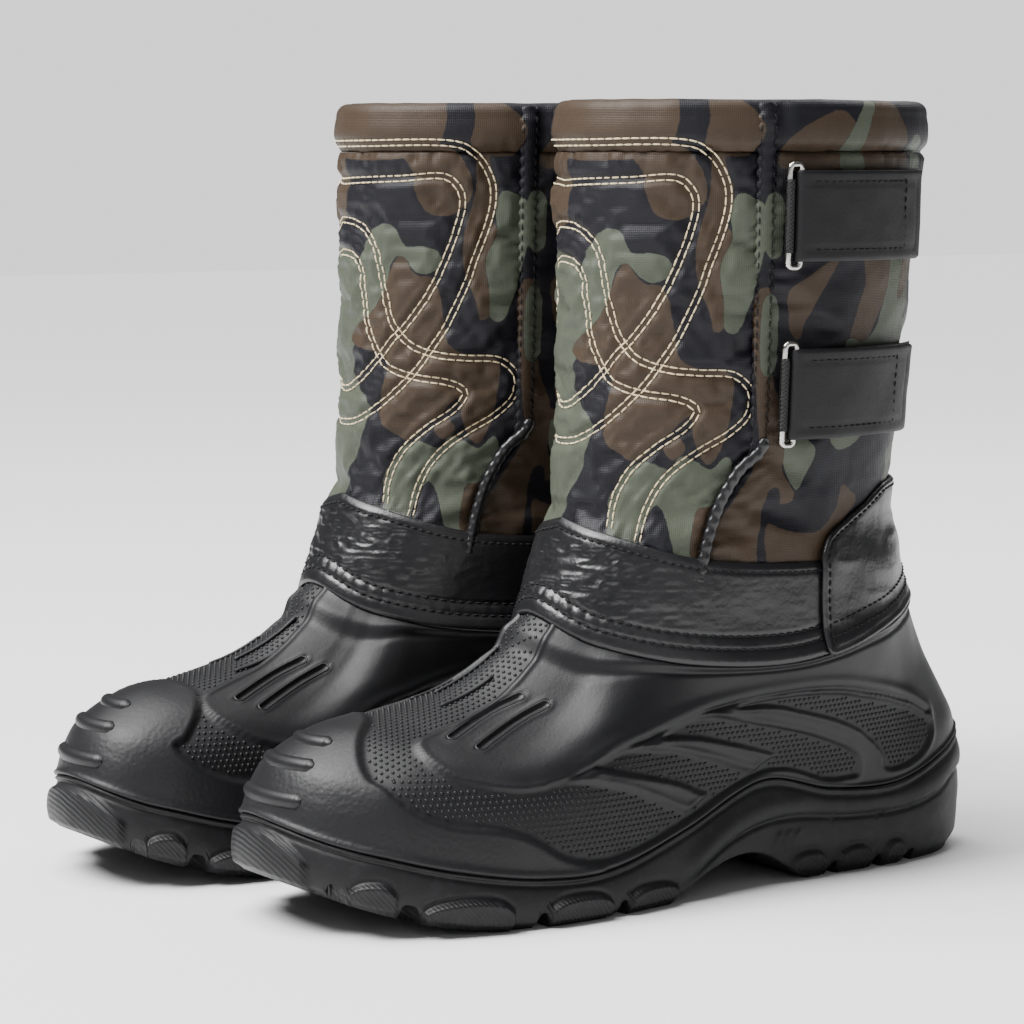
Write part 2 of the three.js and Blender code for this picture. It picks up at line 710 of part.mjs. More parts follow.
function pair() {
  const pieces = bootPieces();
  const soleBack = outlineExtreme(Math.max);
  const soleFront = outlineExtreme(Math.min);
  const middle = (soleBack + soleFront) / 2;
  const group = new THREE.Group();
  const left = boot('left', pieces);
  left.position.set(BOOT_SPACING / 2, STAGGER / 2 - middle, 0);
  const right = boot('right', pieces);
  right.position.set(-BOOT_SPACING / 2, -STAGGER / 2 - middle, 0);
  group.add(left, right);
  return group;
}

// The foremost or rearmost point of the sole's side.
function outlineExtreme(pick) {
  return OUTLINE_PLACES.map((t) => outline(t, -SOLE_FLARE).y).reduce((a, b) => pick(a, b));
}

const group = pair();
export default group;
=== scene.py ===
import math

import bpy
import numpy as np
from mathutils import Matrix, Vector
from mathutils.bvhtree import BVHTree
from mathutils.kdtree import KDTree


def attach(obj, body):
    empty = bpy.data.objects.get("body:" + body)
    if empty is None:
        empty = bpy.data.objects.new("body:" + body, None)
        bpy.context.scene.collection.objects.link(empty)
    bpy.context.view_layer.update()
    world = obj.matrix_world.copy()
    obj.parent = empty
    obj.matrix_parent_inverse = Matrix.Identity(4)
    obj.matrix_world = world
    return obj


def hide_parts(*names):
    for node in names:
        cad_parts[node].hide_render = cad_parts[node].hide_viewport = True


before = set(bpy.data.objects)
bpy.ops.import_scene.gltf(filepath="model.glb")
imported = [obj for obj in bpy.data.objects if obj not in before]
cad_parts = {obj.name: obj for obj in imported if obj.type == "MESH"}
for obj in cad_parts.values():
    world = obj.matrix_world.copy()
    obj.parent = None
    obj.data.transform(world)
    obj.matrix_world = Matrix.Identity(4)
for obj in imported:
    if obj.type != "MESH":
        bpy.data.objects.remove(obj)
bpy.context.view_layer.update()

# Every shape is drawn in millimetres in one boot's own frame: outer side towards +X, toe towards -Y.
# The right boot is the mirror image. PLACE is where each boot's own origin stands in the row frame.
PLACE = {"left": (62.0, 22.454), "right": (-62.0, 1.454)}
SIDES = ("left", "right")


# ---------------------------------------------------------------- small maths

def follow(table, x, even=False):
    """A smooth curve through [x, value] pairs."""
    t = np.array(table, float)
    xs, ys = t[:, 0], t[:, 1]
    s = np.empty_like(ys)
    s[1:-1] = (ys[2:] - ys[:-2]) / (xs[2:] - xs[:-2])
    s[0] = 0 if even else (ys[1] - ys[0]) / (xs[1] - xs[0])
    s[-1] = 0 if even else (ys[-1] - ys[-2]) / (xs[-1] - xs[-2])
    x = np.clip(x, xs[0], xs[-1])
    k = np.clip(np.searchsorted(xs, x) - 1, 0, len(xs) - 2)
    h = xs[k + 1] - xs[k]
    u = (x - xs[k]) / h
    r = 1 - u
    return (ys[k] * (1 + 2 * u) * r * r + ys[k + 1] * u * u * (3 - 2 * u)
            + h * (s[k] * u * r * r - s[k + 1] * u * u * r))


def cubic(a, b, c, d, u):
    """The smooth curve from b to c, with a before it and d after it; u runs from 0 to 1."""
    return 0.5 * (2 * b + (c - a) * u + (2 * a - 5 * b + 4 * c - d) * u**2 + (3 * b - a - 3 * c + d) * u**3)


def catmull(points, t):
    """Place and direction on a closed smooth curve, t from 0 to 1."""
    p = np.array(points, float)
    n = len(p)
    x = (np.asarray(t) % 1) * n
    k = np.floor(x).astype(int)
    u = (x - k)[..., None]
    a, b, c, d = p[(k - 1) % n], p[k % n], p[(k + 1) % n], p[(k + 2) % n]
    heading = 0.5 * ((c - a) + 2 * (2 * a - 5 * b + 4 * c - d) * u + 3 * (3 * b - a - 3 * c + d) * u**2)
    return cubic(a, b, c, d, u), heading / np.linalg.norm(heading, axis=-1, keepdims=True)


def spline(points, step, closed=False):
    """A smooth open or closed line through points of any dimension, sampled about every step."""
    p = np.array(points, float)
    if closed:
        p = np.vstack([p[-1:], p, p[:2]])
    else:
        p = np.vstack([2 * p[0] - p[1], p, 2 * p[-1] - p[-2]])
    out = []
    for a, b, c, d in zip(p[:-3], p[1:-2], p[2:-1], p[3:]):
        n = max(1, int(round(np.linalg.norm(c - b) / step)))
        u = (np.arange(n) / n)[:, None]
        out.append(cubic(a, b, c, d, u))
    if not closed:
        out.append(p[-2:-1])
    return np.vstack(out)


def run_of(line):
    """The distance along a line of points, at each of them."""
    return np.concatenate([[0], np.cumsum(np.linalg.norm(np.diff(line, axis=0), axis=1))])


def resample(line, step):
    """The same line with points at equal distances, about step apart."""
    line = np.asarray(line, float)
    run = run_of(line)
    at = np.linspace(0, run[-1], max(2, int(round(run[-1] / step)) + 1))
    return np.stack([np.interp(at, run, line[:, k]) for k in range(line.shape[1])], -1)


def ease(x, a, b):
    """0 below a, 1 above b, smooth between."""
    u = np.clip((x - a) / (b - a), 0, 1)
    return u * u * (3 - 2 * u)


def bell(x, width):
    """1 at 0, falling to almost nothing at twice the width."""
    return np.exp(-(np.asarray(x) / width) ** 2)


def unit(v):
    return v / np.maximum(np.linalg.norm(v, axis=-1, keepdims=True), 1e-9)


def inside(poly, x, y):
    """Whether points lie inside a closed polygon of [x, y] rows."""
    hit = np.zeros(np.shape(x), bool)
    for (x0, y0), (x1, y1) in zip(poly, np.roll(poly, -1, 0)):
        if y0 == y1:
            continue
        hit ^= ((y0 > y) != (y1 > y)) & (x < (x1 - x0) * (y - y0) / (y1 - y0) + x0)
    return hit


def nearest(samples, points):
    """For each point, the number of the nearest sample and the distance to it."""
    tree = KDTree(len(samples))
    for i, s in enumerate(samples):
        tree.insert(s, i)
    tree.balance()
    found = [tree.find(p)[1:] for p in points]
    return np.array([i for i, _ in found]), np.array([d for _, d in found])


def join(k):
    """The number of the next column on a closed ring of len(k) columns."""
    return (k + 1) % len(k)


def lattice_noise(x, y, seed, cell):
    """Smooth noise between -1 and 1 over two coordinates."""
    rng = np.random.default_rng(seed)
    cells = 64
    table = rng.uniform(-1, 1, (cells, cells))
    x, y = np.asarray(x) / cell, np.asarray(y) / cell
    i, j = np.floor(x).astype(int), np.floor(y).astype(int)
    u, v = x - i, y - j
    u, v = u * u * (3 - 2 * u), v * v * (3 - 2 * v)
    at = lambda a, b: table[a % cells, b % cells]
    return ((at(i, j) * (1 - u) + at(i + 1, j) * u) * (1 - v)
            + (at(i, j + 1) * (1 - u) + at(i + 1, j + 1) * u) * v)


# ---------------------------------------------------------------- mesh building

class Build:
    """Collects vertices, faces and point values, in millimetres in one boot's frame."""

    def __init__(self):
        self.v, self.f, self.m, self.a, self.n = [], [], [], {}, 0

    def add(self, verts, faces, mat=0, **values):
        verts = np.asarray(verts, float).reshape(-1, 3)
        faces = [np.asarray(f, int) for f in (faces if isinstance(faces, list) else [faces])]
        for f in faces:
            self.f.append(f + self.n)
            self.m.append(np.full(len(f), mat))
        self.v.append(verts)
        for k in set(values) | set(self.a):
            if k not in self.a:
                self.a[k] = [np.zeros(self.n)] if self.n else []
            self.a[k].append(np.broadcast_to(np.asarray(values.get(k, 0), float).ravel(), (len(verts),)))
        self.n += len(verts)
        return self

    def make(self, name, side, mats, body="boot", slot=None, node=None):
        """Makes the piece; slot is not used, and node is the CAD piece replaced, which is hidden."""
        v = np.vstack(self.v)
        if side == "right":
            v = v * [-1, 1, 1]
        ox, oy = PLACE[side]
        v = (v + [ox, oy, 0]) / 1000
        sizes = np.concatenate([np.full(len(f), f.shape[1]) for f in self.f])
        loops = np.concatenate([(f[:, ::-1] if side == "right" else f).ravel() for f in self.f])
        mesh = bpy.data.meshes.new(f"{side}_{name}_fine")
        mesh.vertices.add(len(v))
        mesh.vertices.foreach_set("co", v.astype(np.float32).ravel())
        mesh.loops.add(len(loops))
        mesh.loops.foreach_set("vertex_index", loops.astype(np.int32))
        mesh.polygons.add(len(sizes))
        mesh.polygons.foreach_set("loop_start", (np.cumsum(sizes) - sizes).astype(np.int32))
        mesh.polygons.foreach_set("material_index", np.concatenate(self.m).astype(np.int32))
        mesh.update(calc_edges=True)
        mesh.validate()
        mesh.polygons.foreach_set("use_smooth", np.full(len(mesh.polygons), True))
        for k, parts in self.a.items():
            layer = mesh.attributes.new(k, "FLOAT", "POINT")
            layer.data.foreach_set("value", np.concatenate(parts).astype(np.float32))
        for m in (mats if isinstance(mats, (list, tuple)) else [mats]):
            mesh.materials.append(m)
        piece = bpy.data.objects.new(f"{side}_{name}_fine", mesh)
        bpy.context.scene.collection.objects.link(piece)
        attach(piece, f"{side}_{body}")
        if node:
            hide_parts(f"{side}_{node}")
        return piece


def grid_faces(rows, cols, wrap=False, flip=False, start=0):
    """Quads over a grid of points; wrap joins the last column to the first."""
    r = np.arange(rows - 1)[:, None] * cols
    c = np.arange(cols if wrap else cols - 1)[None, :]
    c2 = (c + 1) % cols
    q = np.stack([r + c, r + c2, r + cols + c2, r + cols + c], -1).reshape(-1, 4) + start
    return q[:, ::-1] if flip else q


def grid_normals(p, wrap=False):
    """Normals of a grid of points [row, column]; they point out for grid_faces' winding."""
    if wrap:
        along = np.roll(p, -1, 1) - np.roll(p, 1, 1)
    else:
        along = np.gradient(p, axis=1)
    across = np.gradient(p, axis=0)
    return unit(np.cross(along, across))


def tube(line, radius, sides=6, closed=False, flat=1.0, up=None, taper=True):
    """A round or flattened tube along a line of points; flat scales it along up."""
    p = np.asarray(line, float)
    if closed:
        head = unit(np.roll(p, -1, 0) - np.roll(p, 1, 0))
    else:
        head = unit(np.gradient(p, axis=0))
    ref = np.broadcast_to(np.array([0, 0, 1.0]) if up is None else up, p.shape)
    side = np.cross(head, ref)
    weak = np.linalg.norm(side, axis=1) < 1e-3
    side[weak] = np.cross(head[weak], [0, 1, 0.3])
    side = unit(side)
    out = np.cross(side, head)
    turn = 2 * np.pi * np.arange(sides) / sides
    r = np.full(len(p), float(radius)) if np.isscalar(radius) else np.asarray(radius, float)
    ring = (side[:, None] * np.cos(turn)[None, :, None] + out[:, None] * np.sin(turn)[None, :, None] * flat)
    k = np.arange(sides)
    k2 = join(k)
    if closed:
        v = (p[:, None] + ring * r[:, None, None]).reshape(-1, 3)
        last = (len(p) - 1) * sides
        seam = np.stack([last + k, last + k2, k2, k], -1)
        return v, [np.vstack([grid_faces(len(p), sides, True), seam])[:, ::-1]]
    if taper:
        p = np.vstack([p[0] - head[0] * r[0] * 0.6, p, p[-1] + head[-1] * r[-1] * 0.6])
        r = np.concatenate([[r[0] * 0.55], r, [r[-1] * 0.55]])
        ring = np.concatenate([ring[:1], ring, ring[-1:]])
    v = (p[:, None] + ring * r[:, None, None]).reshape(-1, 3)
    n = len(p)
    v = np.vstack([v, p[0], p[-1]])
    last = (n - 1) * sides
    caps = np.vstack([np.stack([np.full(sides, n * sides), k, k2], -1),
                      np.stack([np.full(sides, n * sides + 1), last + k2, last + k], -1)])
    return v, [grid_faces(n, sides, True)[:, ::-1], caps[:, ::-1]]


# ---------------------------------------------------------------- materials

class Mat:
    """A Principled material with helpers for its nodes. Coordinates are the piece's own, in metres."""

    def __init__(self, name, color, rough, **sockets):
        self.mat = bpy.data.materials.new(name)
        self.mat.use_nodes = True
        self.nt = self.mat.node_tree
        self.b = self.nt.nodes["Principled BSDF"]
        self.b.inputs["Base Color"].default_value = (*color, 1)
        self.b.inputs["Roughness"].default_value = rough
        for k, v in sockets.items():
            self.b.inputs[k.replace("_", " ")].default_value = v
        self.coord = self.nt.nodes.new("ShaderNodeTexCoord").outputs["Object"]
        self.normal = None

    def node(self, kind, **ins):
        n = self.nt.nodes.new(kind)
        for k, v in ins.items():
            self.put(n.inputs[k.replace("_", " ")], v)
        return n

    def put(self, socket, v):
        if isinstance(v, bpy.types.NodeSocket):
            self.nt.links.new(v, socket)
        else:
            socket.default_value = v

    def noise(self, size, detail=3, rough=0.55):
        """Noise whose blobs are about size mm across."""
        n = self.node("ShaderNodeTexNoise", Scale=1000 / size, Detail=detail, Roughness=rough,
                      Vector=self.coord)
        return n.outputs["Fac"]

    def cells(self, size, feature="F1"):
        """Rounded cells about size mm across."""
        n = self.node("ShaderNodeTexVoronoi", Scale=1000 / size, Vector=self.coord)
        n.feature = feature
        return n.outputs["Distance"]

    def wave(self, pitch, axes, distortion=0.0):
        """Stripes across the direction axes (x, y, z), pitch mm apart."""
        d = Vector(axes).normalized()
        dot = self.node("ShaderNodeVectorMath")
        dot.operation = "DOT_PRODUCT"
        self.put(dot.inputs[0], self.coord)
        dot.inputs[1].default_value = d
        x = self.calc("MULTIPLY", dot.outputs["Value"], 2000 * math.pi / pitch)
        if distortion:
            x = self.calc("ADD", x, self.calc("MULTIPLY", self.noise(pitch * 4, 2), distortion))
        return self.calc("SINE", x)

    def calc(self, op, a, b=None):
        n = self.nt.nodes.new("ShaderNodeMath")
        n.operation = op
        for i, v in enumerate((a, b)):
            if v is not None:
                self.put(n.inputs[i], v)
        return n.outputs[0]

    def scaled(self, x, factor, plus):
        """x times a factor, plus another value."""
        return self.calc("ADD", self.calc("MULTIPLY", x, factor), plus)

    def span(self, x, a, b):
        """0 where x is below a, 1 where it is above b, smooth between."""
        n = self.node("ShaderNodeMapRange", Value=x, From_Min=a, From_Max=b)
        n.interpolation_type = "SMOOTHSTEP"
        return n.outputs["Result"]

    def mix(self, fac, a, b):
        n = self.nt.nodes.new("ShaderNodeMix")
        n.data_type = "RGBA"
        self.put(n.inputs["Factor"], fac)
        for i, v in (("A", a), ("B", b)):
            s = [x for x in n.inputs if x.name == i and x.type == "RGBA"][0]
            self.put(s, (*v, 1) if isinstance(v, tuple) and len(v) == 3 else v)
        return [x for x in n.outputs if x.type == "RGBA"][0]

    def value(self, name):
        """A point value of the piece."""
        n = self.nt.nodes.new("ShaderNodeAttribute")
        n.attribute_name = name
        return n.outputs["Fac"]

    def bump(self, height, strength, depth):
        """Adds a bump of that depth in mm on top of the ones before."""
        n = self.node("ShaderNodeBump", Height=height, Strength=strength, Distance=depth / 1000)
        if self.normal is not None:
            self.put(n.inputs["Normal"], self.normal)
        self.normal = n.outputs["Normal"]
        self.put(self.b.inputs["Normal"], self.normal)
        return self

    def color(self, v):
        self.put(self.b.inputs["Base Color"], v)
        return self

    def rough(self, v):
        self.put(self.b.inputs["Roughness"], v)
        return self


def foam_material():
    m = Mat("moulded_foam", (0.006, 0.006, 0.007), 0.42, Specular_IOR_Level=0.34)
    pebble = m.value("pebble")
    dotted = m.value("dotted")
    m.bump(m.noise(26, 3), 0.2, 0.5)
    m.bump(m.calc("MULTIPLY", m.cells(1.7, "SMOOTH_F1"), pebble), 0.4, 0.3)
    m.bump(m.noise(0.9, 3, 0.6), 0.45, 0.13)
    m.bump(m.cells(1.6, "SMOOTH_F1"), 0.22, 0.12)
    wear = m.span(m.noise(40, 4), 0.42, 0.7)
    r = m.scaled(wear, 0.07, 0.41)
    r = m.scaled(dotted, 0.06, r)
    r = m.scaled(pebble, 0.04, r)
    r = m.scaled(m.noise(1.3, 2), 0.06, r)
    m.rough(r)
    m.color(m.mix(m.noise(9, 4), (0.0042, 0.0042, 0.0052), (0.0075, 0.0075, 0.0088)))
    return m.mat


def sole_material():
    m = Mat("sole_rubber", (0.006, 0.006, 0.007), 0.5, Specular_IOR_Level=0.3)
    lug = m.value("lug")
    m.bump(m.calc("MULTIPLY", m.wave(1.4, (0.15, 0.75, 0.66), 3.5), m.calc("ADD", lug, 0.1)), 0.4, 0.18)
    m.bump(m.noise(1.1, 3, 0.6), 0.35, 0.16)
    m.bump(m.noise(18, 3), 0.2, 0.5)
    dust = m.span(m.noise(5, 5, 0.7), 0.5, 0.72)
    m.color(m.mix(dust, (0.0048, 0.0048, 0.0057), (0.0105, 0.0105, 0.012)))
    m.rough(m.scaled(m.noise(7, 4), 0.2, 0.42))
    return m.mat


# ---------------------------------------------------------------- the galosh's surface

# The sole seen from above, round from the toe
SOLE_OUTLINE = [
    [-10, -167], [13, -162], [34, -145], [47, -118], [53, -86], [53, -54], [48, -18], [43, 18],
    [42, 56], [41, 90], [36, 117], [22, 137], [2, 143], [-20, 138], [-34, 119], [-38, 92],
    [-38, 56], [-37, 18], [-41, -18], [-48, -54], [-52, -86], [-50, -118], [-43, -144], [-30, -161]]
# Height of the line between galosh and sole: share of the way round from the toe, height
PARTING = [
    [0, 40], [0.083, 30.5], [0.125, 23.5], [0.167, 18.3], [0.208, 18.2], [0.25, 27.5], [0.29, 40],
    [0.305, 41], [0.333, 34.5], [0.375, 33], [0.417, 41], [0.458, 48], [0.5, 50]]
# The rim seen from above is an ellipse: its middle, its half length and its half width
RIM_Y, RIM_A, RIM_B = 32, 86, 53.5
RIM_HEIGHT = [[-90, 107], [-60, 97], [-30, 90], [0, 88.7], [30, 96.5], [60, 104.5], [90, 109]]
# The galosh's side at places round it: how far in it has come, then how far up, from parting line to rim
PROFILES = [
    (0, [0, 0.035, 0.1, 0.25, 0.45, 0.68, 0.87, 1], [0, 0.17, 0.31, 0.44, 0.51, 0.6, 0.77, 1]),
    (0.125, [0, 0.03, 0.1, 0.26, 0.47, 0.7, 0.88, 1], [0, 0.19, 0.34, 0.46, 0.54, 0.65, 0.81, 1]),
    (0.21, [0, -0.02, 0.03, 0.16, 0.36, 0.6, 0.82, 1], [0, 0.18, 0.35, 0.51, 0.65, 0.77, 0.89, 1]),
    (0.31, [0, 0.12, 0.3, 0.48, 0.65, 0.8, 0.92, 1], [0, 0.15, 0.31, 0.46, 0.62, 0.75, 0.89, 1]),
    (0.4, [0, 0.1, 0.3, 0.5, 0.7, 0.85, 0.95, 1], [0, 0.14, 0.29, 0.43, 0.57, 0.71, 0.86, 1]),
    (0.5, [0, 0.06, 0.2, 0.38, 0.56, 0.72, 0.87, 1], [0, 0.1, 0.22, 0.36, 0.51, 0.67, 0.83, 1])]


def half(t):
    """Share of the way round from the toe, the same on both sides."""
    t = np.asarray(t) % 1
    return np.where(t > 0.5, 1 - t, t)


def outline(t, inset=0):
    """The sole's edge seen from above, drawn in by inset."""
    p, g = catmull(SOLE_OUTLINE, t)
    return p + np.stack([-g[..., 1], g[..., 0]], -1) * np.asarray(inset)[..., None]


def fold(angle):
    """The angle from the side, the same on both sides: -90 at the toe and 90 at the heel."""
    a = ((angle + 90) % 360) - 90
    return np.where(a > 90, 180 - a, a)


def parting(t):
    return follow(PARTING, half(t), True)


def rim(t):
    """The galosh's upper edge."""
    p = outline(t)
    a = np.arctan2((p[..., 1] - RIM_Y) / RIM_A, p[..., 0] / RIM_B)
    z = follow(RIM_HEIGHT, fold(np.degrees(a)), True)
    return np.stack([RIM_B * np.cos(a), RIM_Y + RIM_A * np.sin(a), z], -1)


def shell_point(t, v):
    """A point of the galosh's outside, v from 0 at the parting line to 1 at the rim."""
    t, v = np.broadcast_arrays(t, v)
    foot, top, part = outline(t), rim(t), parting(t)
    rows = len(PROFILES[0][1])
    control = []
    for r in range(rows):
        run = follow([(p[0], p[1][r]) for p in PROFILES], half(t), True)
        rise = follow([(p[0], p[2][r]) for p in PROFILES], half(t), True)
        control.append(np.stack([foot[..., 0] + (top[..., 0] - foot[..., 0]) * run,
                                 foot[..., 1] + (top[..., 1] - foot[..., 1]) * run,
                                 part + (top[..., 2] - part) * rise], -1))
    control = np.stack(control)
    x = np.clip(v, 0, 1) * (rows - 1)
    k = np.clip(np.floor(x).astype(int), 0, rows - 2)
    u = (x - k)[..., None]
    at = lambda i: np.take_along_axis(control, np.clip(i, 0, rows - 1)[None, ..., None], 0)[0]
    a, b, c, d = at(k - 1), at(k), at(k + 1), at(k + 2)
    return cubic(a, b, c, d, u)


# The galosh's face as a grid: t round it from the heel, v up it
SHELL_COLS, SHELL_ROWS = 620, 92
# About how many mm a full turn and the full height are
SHELL_SPAN = [800, 90]
# How far snap moves to measure a slope, in t and in v, and the furthest it steps at once
NUDGE_T, NUDGE_V = 1e-4, 1e-3
STEP_T, STEP_V = 0.004, 0.02
OUT_OF_REACH = 1e4
shell_t = (np.arange(SHELL_COLS) + 0.5) / SHELL_COLS - 0.5
shell_v = np.linspace(0, 1, SHELL_ROWS)
TT, VV = np.meshgrid(shell_t, shell_v)
BASE = shell_point(TT, VV)


def middle_x(y):
    """The middle of the boot's width at a fore-and-aft place."""
    return np.interp(y, [-167, -160, -145, -118, -86, -54, -18, 18], [-10, -8.5, -4.5, -1.5, 0.5, 2, 2, 2])


def snap(points, outer=True, top=False):
    """(t, v) on the galosh for points given as (y, z), or as (y, x) on its top."""
    out = []
    for a, b in points:
        if top:
            d = (BASE[..., 1] - a) ** 2 + (BASE[..., 0] - b) ** 2 + np.where(VV < 0.25, OUT_OF_REACH, 0)
        else:
            wrong = (BASE[..., 0] < middle_x(a)) if outer else (BASE[..., 0] > middle_x(a))
            d = (BASE[..., 1] - a) ** 2 + (BASE[..., 2] - b) ** 2 + np.where(wrong, OUT_OF_REACH, 0)
        i, j = np.unravel_index(np.argmin(d), d.shape)
        t, v = shell_t[j], shell_v[i]
        axes = (1, 0) if top else (1, 2)
        for _ in range(3):
            p = shell_point(np.array([t, t + NUDGE_T, t]), np.array([v, v, min(v + NUDGE_V, 1)]))
            dv = min(v + NUDGE_V, 1) - v
            if dv <= 0:
                break
            slope = np.array([[(p[1][k] - p[0][k]) / NUDGE_T, (p[2][k] - p[0][k]) / dv] for k in axes])
            gap = np.array([a - p[0][axes[0]], b - p[0][axes[1]]])
            if abs(np.linalg.det(slope)) < 1:
                break
            step = np.linalg.solve(slope, gap)
            t += float(np.clip(step[0], -STEP_T, STEP_T))
            v = float(np.clip(v + np.clip(step[1], -STEP_V, STEP_V), 0, 1))
        out.append((t, v))
    return out


def mirror_top(points):
    """The same (y, x) points on the other side of the boot's middle."""
    return [(y, 2 * float(middle_x(y)) - x) for y, x in points]


def soften(chain):
    """A smooth line in (t, v) through snapped points, sampled about every mm."""
    return spline(np.array(chain) * SHELL_SPAN, 1.0) / SHELL_SPAN


# The moulding's lines, each as (y, z) on the side or (y, x) on the top.
RIDGE_TOP = [(-57, 12), (-62, 12.7), (-70, 14), (-80, 15.5), (-90, 17), (-100, 18), (-110, 19.3),
             (-117.5, 21), (-120.3, 26), (-119, 33), (-113, 40)]
SADDLE_LOW = [(-103, 52), (-91.6, 50), (-80, 50.6), (-71, 51.5), (-58, 49.4), (-45, 46), (-32, 40.6),
              (-23, 36.6), (-15.6, 34)]
FIN1_TOP = [(-6, 38.8), (-20, 44.6), (-34, 48.6), (-48, 52), (-61, 55.6)]
PANEL2_TOP = [(-61, 55.6), (-53, 58), (-45, 60), (-31, 58.6), (-16, 56), (0, 51), (11, 47), (18, 44.8)]
FIN2_TOP = [(28, 50), (19, 53), (3, 57.4), (-10, 60.6), (-27.6, 63)]
PANEL3_TOP = [(-27.6, 63), (-18, 66.5), (-7, 68.4), (6, 66.2), (19, 63), (31.5, 60), (44, 56.6), (57, 52),
              (67, 47.5), (70, 44)]
PANEL_LOW = [(70.5, 37.5), (60, 37.3), (50, 39), (40, 42.4), (30, 44.3), (20, 43.5), (10, 40.5), (0, 37),
             (-10, 32.8), (-20, 29.4), (-30, 26.2), (-40, 23.6), (-57, 21)]
CAP_SIDE = [(-57, 21), (-66, 21.8), (-73, 23.5), (-80, 27), (-90, 33.2), (-99.6, 36.6), (-108, 38.2),
            (-120, 40.5), (-131.6, 46), (-138, 53)]
CAP_TOP = [(-140.6, 26.5), (-140, 19.5), (-137.6, 14.5), (-134, 9.5), (-129, 4.5), (-124.5, -1), (-121, -10),
           (-119.5, -19), (-121, -27), (-126, -34), (-133, -39)]
PANEL4 = [(7.6, 71.3), (22, 72.8), (38, 73), (54, 71.8), (70, 68.6), (86, 65.2), (99, 61.4), (107, 57.6),
          (112, 54), (112, 49), (108, 44), (101, 40), (91, 38), (84.5, 39), (82.5, 45), (76, 51),
          (67, 56.6), (54, 61.6), (38, 66.2), (22, 70)]
FIN_LINE = [(-80, 50.8), (-68, 53.4), (-58, 57), (-48, 60.6), (-34, 63.4), (-20, 67), (-7, 70.4), (7.6, 73),
            (22, 74.6), (38, 75), (54, 74), (70, 71), (86, 67.4), (99, 63.4), (110, 58)]
RIM_RIDGE = 0.93                 # v of the bead under the rim
SIDE_LENGTH = 70                 # about how many mm the galosh's face is from parting line to rim
SLOTS = [[(-105, 67.3), (-89, 73), (-72.4, 78.5)], [(-98, 64), (-82, 70), (-66, 75.8)]]


def side_chain(outer):
    """The border of one side's dotted panels, from the rim at the instep to the cap."""
    smooth = lambda points: soften(snap(points, outer))
    straight_between = lambda a, b: np.array(snap([a[-1], b[0]], outer))
    first = snap(RIDGE_TOP if outer else mirror_top(RIDGE_TOP), outer, True)
    above_rim = [(first[0][0], 1.04)]
    return [soften(above_rim + first + snap(SADDLE_LOW, outer)), straight_between(SADDLE_LOW, FIN1_TOP),
            smooth(FIN1_TOP), smooth(PANEL2_TOP), straight_between(PANEL2_TOP, FIN2_TOP), smooth(FIN2_TOP),
            smooth(PANEL3_TOP), straight_between(PANEL3_TOP, PANEL_LOW), smooth(PANEL_LOW)]


outer_parts, inner_parts = side_chain(True), side_chain(False)
cap_line = soften(snap(CAP_SIDE, True) + snap(CAP_TOP, True, True) + snap(CAP_SIDE[::-1], False))
dotted_loop = np.vstack(outer_parts + [cap_line] + [p[::-1] for p in inner_parts[::-1]])
heel_loops = [soften(snap(PANEL4 + PANEL4[:1], outer)) for outer in (True, False)]
cap_loop = np.vstack([cap_line, [(cap_line[-1][0], -0.1), (cap_line[0][0], -0.1)]])


def on_shell(tv, step=1.0):
    """Points in space along a (t, v) line, about step apart."""
    tv = np.asarray(tv)
    return resample(shell_point(tv[:, 0], np.clip(tv[:, 1], 0, 1)), step)


def line_gap(tv):
    """Distance of every grid point from a line on the galosh."""
    return nearest(on_shell(tv, 0.8), BASE.reshape(-1, 3))[1].reshape(BASE.shape[:2])


def signed(loop):
    """Distance from a closed line, positive inside it."""
    d = line_gap(np.vstack([loop, loop[:1]]))
    return np.where(inside(loop, TT, VV), d, -d)


dotted_depth = np.maximum(signed(dotted_loop), np.maximum(signed(heel_loops[0]), signed(heel_loops[1])))
cap_depth = signed(cap_loop)


def straight(ends):
    """Nine points on the straight line between the two ends."""
    (y0, z0), (y1, z1) = ends[0], ends[-1]
    return [(y0 + (y1 - y0) * q, z0 + (z1 - z0) * q) for q in np.linspace(0, 1, 9)]


fin_gap = np.minimum(line_gap(soften(snap(FIN_LINE, True))), line_gap(soften(snap(FIN_LINE, False))))
slot_lines = [soften(snap(straight(slot), outer)) for slot in SLOTS for outer in (True, False)]
slot_gap = np.min([line_gap(s) for s in slot_lines], axis=0)


def shell_surface():
    """The galosh's face with its mouldings raised and sunk, and the smooth face's normals."""
    n = grid_normals(BASE, True)
    y = BASE[..., 1]
    lift = -0.95 * ease(dotted_depth, -0.5, 0.9)
    lift = lift + 0.45 * bell(dotted_depth + 1.4, 1.0) * (VV > 0.03)
    lift = lift + 0.9 * bell(np.minimum(cap_depth - 4, 0), 4) * ease(cap_depth, -0.2, 2.0)
    lift = lift - 0.8 * bell(fin_gap, 0.9) * (dotted_depth < 0)
    lift = lift + 0.9 * bell(fin_gap - 3.0, 2.4) * (dotted_depth < -1.0) * ease(y, -75, -50)
    lift = lift - 0.85 * (1 - ease(slot_gap, 0.6, 1.5)) + 0.25 * bell(slot_gap - 2.4, 0.9)
    up = VV * SIDE_LENGTH
    ridge = RIM_RIDGE * SIDE_LENGTH
    lift = lift + 1.3 * bell(up - ridge, 1.6) - 0.7 * bell(up - ridge + 3.5, 1.3)
    lift = lift + 0.9 * bell(up - 1.2, 1.0)
    lift = lift + 0.12 * lattice_noise(TT * 800, VV * 80, 3, 14)
    return BASE + n * lift[..., None], n


SHELL, SHELL_N = shell_surface()


